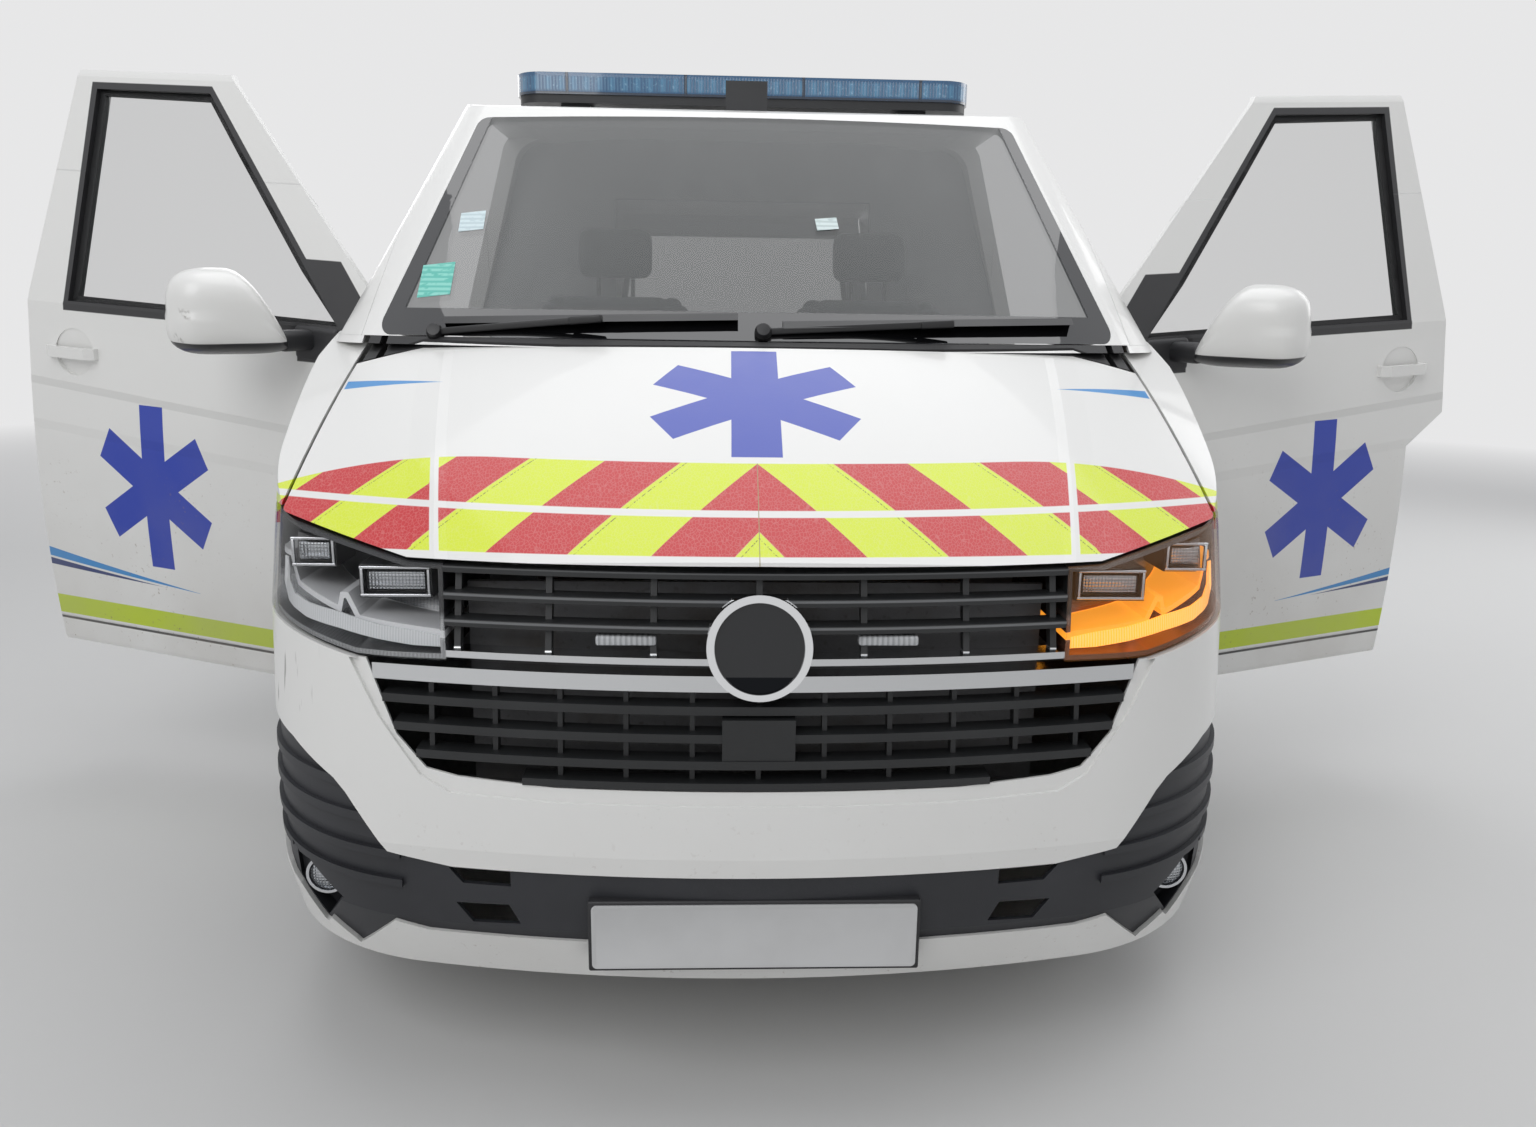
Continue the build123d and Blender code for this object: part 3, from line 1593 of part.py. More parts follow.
def front_seat(x):
    """A front seat on its box: base, cushion, back and headrest."""
    with BuildPart() as seat:
        with BuildSketch(Plane.YZ.offset(x - 210)):
            with BuildLine():
                Polyline((along(1560), load_floor_height + seal_gap), (along(1960), load_floor_height + seal_gap))
                Polyline((along(1960), load_floor_height + seal_gap), (along(1960), 760), (along(1560), 760))
                Line((along(1560), 760), (along(1560), load_floor_height + seal_gap))
            make_face()
        extrude(amount=420)
        with BuildSketch(Plane.YZ.offset(x - 250)):
            with BuildLine():
                Polyline(
                    (along(1490), 760),
                    (along(1470), 830),
                    (along(1500), 880),
                    (along(1850), 850),
                    (along(1960), 850),
                    (along(2060), 1400),
                    (along(2150), 1410),
                    (along(2170), 1370),
                    (along(2090), 860),
                    (along(2040), 760),
                    close=True,
                )
            make_face()
        extrude(amount=500)
        with BuildSketch(Plane.YZ.offset(x - 135)):
            with BuildLine():
                Polyline(
                    (along(2075), 1400),
                    (along(2095), 1590),
                    (along(2165), 1600),
                    (along(2175), 1400),
                    close=True,
                )
            make_face()
        extrude(amount=270)
    return seat.part


front_seats = front_seat(410) + front_seat(-410)
partition_station = 2235
partition = box_between((-900, partition_station, 500), (900, partition_station + 22, 1900)) & wall_form
partition = partition - box_between((-900, partition_station - 5, 400), (900, partition_station + 40, load_floor_height))
partition = partition - box_between((-420, partition_station - 5, 1290), (420, partition_station + 40, 1680))

# Exhaust and fuel tank under the floor
with BuildPart() as exhaust:
    exhaust_x = -330
    with BuildLine() as exhaust_line:
        FilletPolyline(
            (exhaust_x + 60, along(1330), 360),
            (exhaust_x, along(1700), 296),
            (exhaust_x, along(3400), 296),
            (exhaust_x - 40, along(4100), 290),
            (exhaust_x - 40, along(4600), 290),
            radius=160,
        )
    with BuildSketch(Plane(origin=exhaust_line.line @ 0, z_dir=exhaust_line.line % 0)):
        Circle(28)
    sweep()
    with BuildSketch(Plane.XZ.offset(-along(2400))):
        with Locations((exhaust_x, 310)):
            RectangleRounded(190, 120, 50)
    extrude(amount=-620)
    hanger_top = load_floor_height - floor_thickness - seal_gap
    for station, x, base in ((2500, 0, 360), (2940, 0, 360), (4300, -40, 310)):
        with Locations((exhaust_x + x, along(station), (base + hanger_top) / 2)):
            Box(12, 12, hanger_top - base)
fuel_tank = box_between((120, 1560, 300), (480, 2420, load_floor_height - floor_thickness - seal_gap))

pieces = (
    (bodyside_left, "bodyside_left"),
    (bodyside_right, "bodyside_right"),
    (roof, "roof"),
    (cowl_panel, "cowl_panel"),
    (bonnet, "bonnet"),
    (wing_left, "wing_left"),
    (wing_right, "wing_right"),
    (front_bumper, "front_bumper"),
    (bumper_trim, "bumper_corner_trims"),
    (upper_grille, "upper_grille"),
    (lower_grille, "lower_grille"),
    (headlights, "headlights"),
    (headlight_lenses, "headlight_lenses"),
    (sliding_door, "sliding_door"),
    (side_windows, "side_windows"),
    (fuel_flap, "fuel_flap"),
    (tailgate, "tailgate"),
    (tailgate_glass, "tailgate_glass"),
    (tail_lamps, "tail_lamps"),
    (rear_bumper, "rear_bumper"),
    (underbody, "underbody"),
    (engine_block, "engine_block"),
    (front_axle_carrier, "front_axle_carrier"),
    (rear_axle, "rear_axle"),
    (light_bar, "light_bar"),
    (light_bar_base, "light_bar_base"),
    (roof_aerial, "roof_aerial"),
    (wipers, "wipers"),
    (dashboard, "dashboard"),
    (steering_wheel.part, "steering_wheel"),
    (front_seats, "front_seats"),
    (partition, "partition"),
    (exhaust.part, "exhaust"),
    (fuel_tank, "fuel_tank"),
)
for piece, name in pieces:
    save(piece, name)
print(len(parts_written), "parts")
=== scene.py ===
"""The looks of an ambulance van: paint, markings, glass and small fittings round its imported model."""

import json
from math import cos, radians, sin, tau

import bmesh
import bpy
from mathutils import Matrix, Vector
from mathutils.bvhtree import BVHTree


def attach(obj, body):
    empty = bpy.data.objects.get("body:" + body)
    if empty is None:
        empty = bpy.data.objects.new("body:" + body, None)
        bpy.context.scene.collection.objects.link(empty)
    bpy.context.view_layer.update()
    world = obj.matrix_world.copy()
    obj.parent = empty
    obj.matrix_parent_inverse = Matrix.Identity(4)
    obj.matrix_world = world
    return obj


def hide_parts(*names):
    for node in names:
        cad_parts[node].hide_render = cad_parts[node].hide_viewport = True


bl_info = {
    "name": "Ambulance van looks",
    "version": (1, 0, 0),
    "blender": (4, 5, 0),
    "location": "View3D > Sidebar > Ambulance",
    "description": "Paints a packed ambulance van and adds its lamps, plate, seats and small fittings",
    "category": "Object",
}

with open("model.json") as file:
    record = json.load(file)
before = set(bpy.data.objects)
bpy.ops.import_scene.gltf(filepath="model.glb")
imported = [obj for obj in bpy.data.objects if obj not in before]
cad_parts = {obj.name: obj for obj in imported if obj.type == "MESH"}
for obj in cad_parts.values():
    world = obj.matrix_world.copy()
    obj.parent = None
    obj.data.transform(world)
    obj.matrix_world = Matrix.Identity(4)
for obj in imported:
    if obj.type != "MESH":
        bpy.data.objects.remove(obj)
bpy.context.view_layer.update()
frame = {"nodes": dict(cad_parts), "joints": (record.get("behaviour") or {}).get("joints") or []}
joints = {joint["name"]: joint for joint in frame["joints"]}

# The shared frame: a station is a distance behind the foremost point, and Y is measured from mid length
MID_LENGTH = 2.452
WHEEL_X = 0.814
WHEEL_HEIGHT = 0.343
AXLES = {"front": 0.908, "rear": 3.908}
# Each side's name and the sign of its X
SIDES = (("left", 1), ("right", -1))
# The angle at which each door is closed, counted from where it stands open
DOOR_ANGLES = {
    "left": joints["left_door_hinge"]["range_deg"][1],
    "right": joints["right_door_hinge"]["range_deg"][0],
}

# Markings, as half widths, stations and heights
SIDE_REACH = 0.83
SWOOSH_TIP = (1.716, 0.523)
SWOOSH_END = 4.72
DOOR_STAR = (1.838, 0.800)
STAR_BAR = 0.41
CHEVRON_TOP = 1.061
WHITE_BORDER = (0.003, 0.007)
# The fold that runs up each side of the bonnet: half width at a height, and how far it leans out
FOLD = (0.551, 1.024, 0.37)

# Points nearer than this are one, and edges sharper than this stay sharp
WELD = 0.00002
SHARP_DEGREES = 35

BLACK_PLASTIC = (0.016, 0.016, 0.018)
DARK_PLASTIC = (0.012, 0.012, 0.013)


def along(station):
    """The frame's Y of a station."""
    return station - MID_LENGTH


# ---------------------------------------------------------------- shader maths


class Wire:
    """A node's output, so that shader maths reads as plain arithmetic."""

    def __init__(self, tree, socket):
        self.tree = tree
        self.socket = socket

    def node(self, kind, settings=None, sockets=None, output=0):
        """Add a node: its settings first, then the values or links of its sockets."""
        made = self.tree.nodes.new(kind)
        for name, value in (settings or {}).items():
            setattr(made, name, value)
        for key, value in (sockets or {}).items():
            if isinstance(value, Wire):
                self.tree.links.new(value.socket, made.inputs[key])
            else:
                made.inputs[key].default_value = value
        return Wire(self.tree, made.outputs[output])

    def math(self, operation, *values):
        return self.node("ShaderNodeMath", {"operation": operation}, dict(enumerate(values)))

    def __add__(self, other):
        return self.math("ADD", self, other)

    def __sub__(self, other):
        return self.math("SUBTRACT", self, other)

    def __rsub__(self, other):
        return self.math("SUBTRACT", other, self)

    def __mul__(self, other):
        return self.math("MULTIPLY", self, other)

    def __truediv__(self, other):
        return self.math("DIVIDE", self, other)

    def __abs__(self):
        return self.math("ABSOLUTE", self)

    __radd__ = __add__
    __rmul__ = __mul__

    def fraction(self):
        return self.math("FRACT", self)

    def root(self):
        return self.math("SQRT", self)

    def power(self, exponent):
        return self.math("POWER", self, exponent)

    def least(self, other):
        return self.math("MINIMUM", self, other)

    def most(self, other):
        return self.math("MAXIMUM", self, other)

    def ramp(self, low, high):
        """0 below low, 1 above high and straight between them; low may be the higher one."""
        sockets = {"Value": self, "From Min": low, "From Max": high}
        return self.node("ShaderNodeMapRange", {"clamp": True}, sockets)

    def over(self, edge, soft=0.0006):
        return (self - edge).ramp(-soft, soft)

    def under(self, edge, soft=0.0006):
        return (self - edge).ramp(soft, -soft)

    def between(self, low, high, soft=0.0006):
        return self.over(low, soft) * self.under(high, soft)

    def axis(self, name):
        return self.node("ShaderNodeSeparateXYZ", {}, {0: self}, {"x": 0, "y": 1, "z": 2}[name])

    def station(self):
        """How far this position lies behind the foremost point."""
        return self.axis("y") + MID_LENGTH

    def noise(self, scale, detail=3.0):
        return self.node("ShaderNodeTexNoise", {}, {"Vector": self, "Scale": scale, "Detail": detail})

    def blend(self, mask, under, over):
        """A colour: one where the mask is 0, the other where it is 1."""
        return self.node("ShaderNodeMix", {"data_type": "RGBA"}, {0: mask, 6: under, 7: over}, 2)

    def stretched(self, scale):
        """This position scaled by three numbers, for a pattern that runs one way."""
        return self.node("ShaderNodeVectorMath", {"operation": "MULTIPLY"}, {0: self, 1: scale})


class Finish:
    """One material: its nodes, the positions that it reads and its shader."""

    def __init__(self, name, colour, roughness, **constants):
        self.material = bpy.data.materials.new(name)
        self.material.use_nodes = True
        self.tree = self.material.node_tree
        self.shader = self.tree.nodes["Principled BSDF"]
        self.start = Wire(self.tree, None)
        self.place = self.start.node("ShaderNodeTexCoord", output=3)
        self.colour = (*colour, 1)
        self.roughness = roughness
        self.heights = []
        for name, value in constants.items():
            self.shader.inputs[name.replace("_", " ").title().replace("Ior", "IOR")].default_value = value

    def turned(self, matrix):
        """The position carried by a matrix, for a pattern that belongs to another place."""
        return self.start.node(
            "ShaderNodeMapping",
            {"vector_type": "POINT"},
            {"Vector": self.place, "Location": matrix.to_translation(), "Rotation": matrix.to_euler("XYZ")},
        )

    def slant(self):
        """0 where the surface faces the eye, rising to 1 at its rim."""
        return self.start.node("ShaderNodeLayerWeight", {}, {"Blend": 0.5}, 1)

    def mix(self, mask, colour):
        """Lay a colour over the present one where the mask is 1."""
        self.colour = self.start.blend(mask, self.colour, (*colour, 1))

    def bump(self, height, depth, strength=1.0):
        """Raise the surface: height from 0 to 1, depth in metres."""
        self.heights.append((height, depth, strength))

    def set(self, socket, value):
        """Link what varies over the surface, or set what doesn't vary."""
        if isinstance(value, Wire):
            self.tree.links.new(value.socket, self.shader.inputs[socket])
        else:
            self.shader.inputs[socket].default_value = value

    def done(self):
        """Join everything to the shader and hand over the material."""
        self.set("Base Color", self.colour)
        self.set("Roughness", self.roughness)
        normal = None
        for height, depth, strength in self.heights:
            sockets = {"Height": height, "Distance": depth, "Strength": strength}
            if normal is not None:
                sockets["Normal"] = normal
            normal = self.start.node("ShaderNodeBump", {}, sockets)
        if normal is not None:
            self.set("Normal", normal)
        return self.material


def closed_door_matrix(side):
    """Carries a point of a door as it stands open to its place when closed."""
    joint = joints[f"{side}_door_hinge"]
    hinge = Matrix.Translation(Vector(joint["pos_m"]))
    turn = Matrix.Rotation(radians(DOOR_ANGLES[side]), 4, Vector(joint["axis"]).normalized())
    return hinge @ turn @ hinge.inverted()


# ---------------------------------------------------------------- markings


def six_armed_star(across, up, half_height, bar):
    """1 inside three crossed bars."""
    inside = None
    for turn in (0, 60, 120):
        lengthwise = abs(up * cos(radians(turn)) + across * sin(radians(turn)))
        sideways = abs(across * cos(radians(turn)) - up * sin(radians(turn)))
        arm = lengthwise.under(half_height) * sideways.under(bar / 2)
        inside = arm if inside is None else inside.most(arm)
    return inside


def nearest_run(across, up, points):
    """Distance from a line through points, in a plane."""
    nearest = None
    for (x0, z0), (x1, z1) in zip(points, points[1:]):
        run_x, run_z = x1 - x0, z1 - z0
        share = ((across - x0) * run_x + (up - z0) * run_z) / (run_x**2 + run_z**2)
        share = share.most(0.0).least(1.0)
        gap_x = across - x0 - share * run_x
        gap_z = up - z0 - share * run_z
        gap = (gap_x * gap_x + gap_z * gap_z).root()
        nearest = gap if nearest is None else nearest.least(gap)
    return nearest


def road_dirt(finish, place, top, amount):
    """Mud specks and a grey film low on the painted sides."""
    height = place.axis("z")
    film = place.noise(3.1, 4.0).ramp(0.35, 0.8) * height.ramp(top, 0.3)
    finish.mix(film * (0.55 * amount), (0.42, 0.38, 0.33))
    specks = place.noise(95.0, 2.0).ramp(0.66, 0.72) * place.noise(7.0).ramp(0.45, 0.65)
    finish.mix(specks * height.ramp(top, 0.35) * amount, (0.23, 0.16, 0.11))


def side_marks(finish, place, star_centre=None):
    """The stripe, the swoosh, the creases and the star of one side."""
    station = place.station()
    height = place.axis("z")
    outside = abs(place.axis("x")).over(SIDE_REACH)
    stripe_low, stripe_high, star = sizes().stripe_low, sizes().stripe_high, sizes().door_star
    finish.mix(height.between(stripe_low, stripe_high) * outside * station.over(0.9), colours().stripe)
    # The groove under the stripe is painted near black: painted shade in the groove
    groove_shade = height.between(stripe_low - 0.017, stripe_low - 0.010)
    finish.mix(groove_shade * outside, (0.05, 0.05, 0.05))

    run = (station - SWOOSH_TIP[0]).most(0.0)

    def above(slope, bend):
        """Height above one of the three curves that bound the swoosh's two colours."""
        return height - (SWOOSH_TIP[1] + run * slope + run * run * bend)

    top, middle, low = above(0.115, 0.055), above(0.068, 0.045), above(0.024, 0.035)
    started = station.over(SWOOSH_TIP[0] + 0.014) * outside * station.under(SWOOSH_END)
    finish.mix(middle.over(0.0) * top.under(0.0) * started, colours().sky_blue)
    finish.mix(low.over(0.0) * middle.under(-0.006) * started, colours().navy)

    if star_centre:
        across = (station - star_centre[0]) / 0.80
        up = height - star_centre[1]
        border = six_armed_star(across, up, star + WHITE_BORDER[0], star * STAR_BAR + WHITE_BORDER[1])
        finish.mix(border * outside, colours().paint)
        finish.mix(six_armed_star(across, up, star, star * STAR_BAR) * outside, colours().star)

    # Two creases that rise towards the rear, and the rubbing strip under the stripe
    crease = (height - 1.051) - (station - 2.164) * 0.069
    finish.bump(crease.ramp(-0.010, 0.010) - crease.ramp(0.010, 0.16) * 0.6, 0.006)
    low_crease = height - 0.925 - (station - 1.984) * 0.062
    finish.bump(low_crease.ramp(-0.012, 0.012) - low_crease.ramp(0.012, 0.1), 0.0025)
    rub = height - (stripe_low - 0.0135)
    finish.bump(abs(rub).ramp(0.0, 0.007) * outside, 0.004)


def nose_marks(finish, place):
    """The chevrons, the star and the fine lines of the bonnet and the wing tips."""
    across = abs(place.axis("x"))
    height = place.axis("z")
    station = place.station()
    fold = across - FOLD[0] - (height - FOLD[1]) * FOLD[2]

    # The chevrons lean back as they rise, and their pattern widens past the fold
    rise = (height - 0.933) * 1000
    phase = across * 1000 + rise * 1.15 + rise * rise * 0.0017
    phase = phase + across.over(0.558) * (phase * 0.2 - 110)
    wave = ((phase - 175) / 260).fraction()
    red = wave.over(0.5, 0.004) * wave.under(0.9985, 0.0015)

    # The film ends in a line that falls outwards, and is parted by the fold and by a thin line
    past = (across - 0.45).most(0.0)
    band = (height - (CHEVRON_TOP - past * past * 0.36)).under(0.0) * station.under(0.62)
    gap = abs(fold).under(0.008)
    line = height.between(0.988, 0.997)
    shown = band * (1 - gap) * (1 - line) * (height + across * across * 0.02).over(0.9385)
    finish.mix(shown * (1 - red), colours().chevron_yellow)
    finish.mix(shown * red, colours().chevron_red)

    # The film's bead pattern, its printed lines and the seam in its middle
    cells = place.node(
        "ShaderNodeTexVoronoi",
        {"feature": "DISTANCE_TO_EDGE"},
        {"Vector": place.stretched((1, 0.3, 1)), "Scale": 190.0},
    )
    finish.mix(shown * cells.ramp(0.10, 0.02) * 0.10, (0.9, 0.88, 0.8))
    letters = place.stretched((420, 1, 420)).noise(1.0, 1.0).over(0.5, 0.05)
    finish.mix(abs(wave - 0.46).under(0.004, 0.002) * letters * shown, (0.12, 0.13, 0.02))
    finish.mix(across.under(0.0007, 0.0002) * band, (0.3, 0.25, 0.1))
    finish.bump(fold.ramp(-0.022, 0.0) - fold.ramp(0.0, 0.05) * 0.5, 0.006)

    # The star lies on the slope, so its height is a length along the bonnet
    half_height = 0.215
    star_up = (station - 0.448) / 0.158 * half_height
    star = six_armed_star(place.axis("x") / 0.9, star_up, half_height, 0.098)
    finish.mix(star * station.under(0.68), colours().star)

    # A fine line that widens outwards on each side
    centre = 0.591 + (across - 0.605) * 0.36
    reach = (across - 0.6).most(0.0)
    fine = (abs(station - centre - 0.004) - reach * 0.07).under(0.0, 0.0004)
    finish.mix(fine * across.between(0.6, 0.81), colours().sky_blue)
    return shown


def gloss_paint(name):
    """White paint under a clear coat, a little uneven."""
    finish = Finish(name, colours().paint, 0.32, coat_weight=0.35, coat_roughness=0.05)
    finish.mix(finish.place.noise(1.7, 3.0) * 0.10, (0.70, 0.70, 0.69))
    finish.roughness = finish.place.noise(24.0, 2.0) * 0.12 + 0.26
    finish.bump(finish.place.noise(140.0, 1.0), 0.00006)
    return finish


def grained(name, colour, roughness, grain=520.0):
    """Moulded plastic with a fine grain and slightly paler, rubbed high places."""
    finish = Finish(name, colour, roughness)
    patches = finish.place.noise(6.0, 4.0)
    finish.mix(patches.ramp(0.45, 0.8) * 0.35, [min(1.0, value * 1.9 + 0.01) for value in colour])
    finish.roughness = patches * 0.22 + (roughness - 0.1)
    finish.bump(finish.place.noise(grain, 2.0), 0.0003, 0.6)
    return finish


def grained_plastic(*look):
    """The same as a material, where nothing more is laid over it."""
    return grained(*look).done()


def uneven_gloss(name, colour, scale, spread, low, metallic=None, **constants):
    """One colour whose roughness wanders between low and low plus spread, in patches of a scale."""
    finish = Finish(name, colour, low, **constants)
    if metallic is not None:
        finish.set("Metallic", metallic)
    finish.roughness = finish.place.noise(scale) * spread + low
    return finish


def worn_metal(name, colour, stain, roughness, metal=0.0):
    """Metal under old enamel or rust, stained in patches."""
    finish = Finish(name, colour, roughness)
    patches = finish.place.noise(8.0, 5.0)
    finish.mix(patches.ramp(0.48, 0.72) * 0.7, stain)
    finish.mix(finish.place.noise(70.0).ramp(0.6, 0.75) * 0.5, [value * 0.5 for value in stain])
    finish.roughness = patches * 0.3 + (roughness - 0.1)
    finish.set("Metallic", metal)
    finish.bump(finish.place.noise(180.0, 3.0), 0.0012, 0.7)
    return finish.done()


# ---------------------------------------------------------------- pieces


def finished(name, bm, body, material):
    """Turn a bmesh in the shared frame into a piece that rides on a body."""
    bmesh.ops.remove_doubles(bm, verts=bm.verts, dist=WELD)
    bmesh.ops.recalc_face_normals(bm, faces=bm.faces)
    mesh = bpy.data.meshes.new(name)
    bm.to_mesh(mesh)
    bm.free()
    mesh.shade_smooth()
    mesh.set_sharp_from_angle(angle=radians(SHARP_DEGREES))
    mesh.materials.append(material)
    piece = bpy.data.objects.new(name, mesh)
    bpy.context.scene.collection.objects.link(piece)
    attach(piece, body)
    return piece


def rounded_block(bm, centre, size, radius, turn=None, segments=3):
    """Add a block with rounded edges."""
    place = Matrix.Translation(Vector(centre)) @ (turn or Matrix.Identity(4))
    made = bmesh.ops.create_cube(bm, size=1, matrix=place @ Matrix.Diagonal((*size, 1)))
    edges = list({edge for vert in made["verts"] for edge in vert.link_edges})
    rounding = {"offset_type": "OFFSET", "affect": "EDGES", "profile": 0.5, "material": -1}
    bmesh.ops.bevel(bm, geom=edges, offset=radius, segments=segments, **rounding)


def blocks(*parts):
    """A bmesh of rounded blocks, each given by what rounded_block takes."""
    bm = bmesh.new()
    for part in parts:
        rounded_block(bm, *part)
    return bm


def tilt(degrees):
    """A turn about the axis that runs across the van."""
    return Matrix.Rotation(radians(degrees), 4, "X")


def turned_shape(bm, profile, centre, direction, steps=48):
    """Spin a profile of (radius, distance along the axis) points round an axis."""
    axis = Vector(direction).normalized()
    side = axis.orthogonal().normalized()
    verts = [bm.verts.new(Vector(centre) + side * radius + axis * distance) for radius, distance in profile]
    edges = [bm.edges.new(pair) for pair in zip(verts, verts[1:])]
    whole_turn = {"dvec": (0, 0, 0), "angle": tau, "use_merge": True}
    bmesh.ops.spin(bm, geom=verts + edges, cent=Vector(centre), axis=axis, steps=steps, **whole_turn)


def turned(*shape):
    """A bmesh of one turned shape, given by what turned_shape takes."""
    bm = bmesh.new()
    turned_shape(bm, *shape)
    return bm


def rod(bm, start, end, radius):
    """Add a round rod between two points, with slightly rounded ends."""
    start, end = Vector(start), Vector(end)
    length = (end - start).length
    profile = [(0, 0), (radius * 0.7, 0), (radius, radius * 0.3), (radius, length - radius * 0.3)]
    profile += [(radius * 0.7, length), (0, length)]
    turned_shape(bm, profile, start, end - start, 12)


class Surface:
    """The outside of some CAD nodes, to stand pieces on."""

    # Stations well ahead of the van and well behind it, from which rays start
    ahead, behind = -1.0, 6.5

    def __init__(self, *names):
        graph = bpy.context.evaluated_depsgraph_get()
        self.trees = [BVHTree.FromObject(frame["nodes"][name], graph) for name in names]

    def hit(self, origin, direction):
        """The nearest point that a ray meets."""
        found = [tree.ray_cast(Vector(origin), Vector(direction)) for tree in self.trees]
        found = [(distance, point) for point, _, _, distance in found if point is not None]
        if not found:
            raise RuntimeError(f"nothing lies in front of {tuple(origin)}")
        return min(found, key=lambda result: result[0])[1]

    def front(self, x, height):
        """The first point seen from ahead at a half width and a height."""
        return self.hit((x, along(self.ahead), height), (0, 1, 0))

    def back(self, x, height):
        """The first point seen from behind."""
        return self.hit((x, along(self.behind), height), (0, -1, 0))


def cover(material, *names):
    """Give CAD nodes a material."""
    for name in names:
        node = frame["nodes"][name]
        node.data.materials.clear()
        node.data.materials.append(material)


# ---------------------------------------------------------------- sizes and colours


def colour_property(name, description, default):
    return bpy.props.FloatVectorProperty(
        name=name, description=description, default=default, size=3, min=0, max=1, subtype="COLOR"
    )


class VanColours(bpy.types.PropertyGroup):
    paint: colour_property("Paint", "The van's body colour", (0.80, 0.80, 0.785))
    star: colour_property("Star", "The blue of the stars", (0.012, 0.045, 0.42))
    sky_blue: colour_property("Light blue", "The upper swoosh line", (0.03, 0.26, 0.62))
    navy: colour_property("Navy", "The lower swoosh line", (0.006, 0.03, 0.16))
    stripe: colour_property("Stripe", "The stripe along the sides", (0.52, 0.66, 0.02))
    chevron_red: colour_property("Chevron red", "The red of the bonnet's chevrons", (0.55, 0.010, 0.016))
    chevron_yellow: colour_property("Chevron yellow", "The yellow of the bonnet's chevrons", (0.68, 0.80, 0.02))
    running_light: colour_property("Running light", "The light of the lit front indicator", (1.0, 0.36, 0.03))


def length_property(name, description, default):
    return bpy.props.FloatProperty(name=name, description=description, default=default, unit="LENGTH")


class VanSizes(bpy.types.PropertyGroup):
    stripe_low: length_property("Stripe's lower edge", "Its height above the ground", 0.399)
    stripe_high: length_property("Stripe's upper edge", "Its height above the ground", 0.454)
    door_star: length_property("Door star", "Half the height of the star on each door", 0.218)
    plate_width: length_property("Plate width", "Width of the blank plate", 0.520)
    plate_height: length_property("Plate height", "Height of the blank plate", 0.110)
    nut_circle: length_property("Nut circle", "Radius of the circle that the wheel nuts stand on", 0.060)


def colours():
    return bpy.context.scene.van_colours


def sizes():
    return bpy.context.scene.van_sizes


# ---------------------------------------------------------------- operators


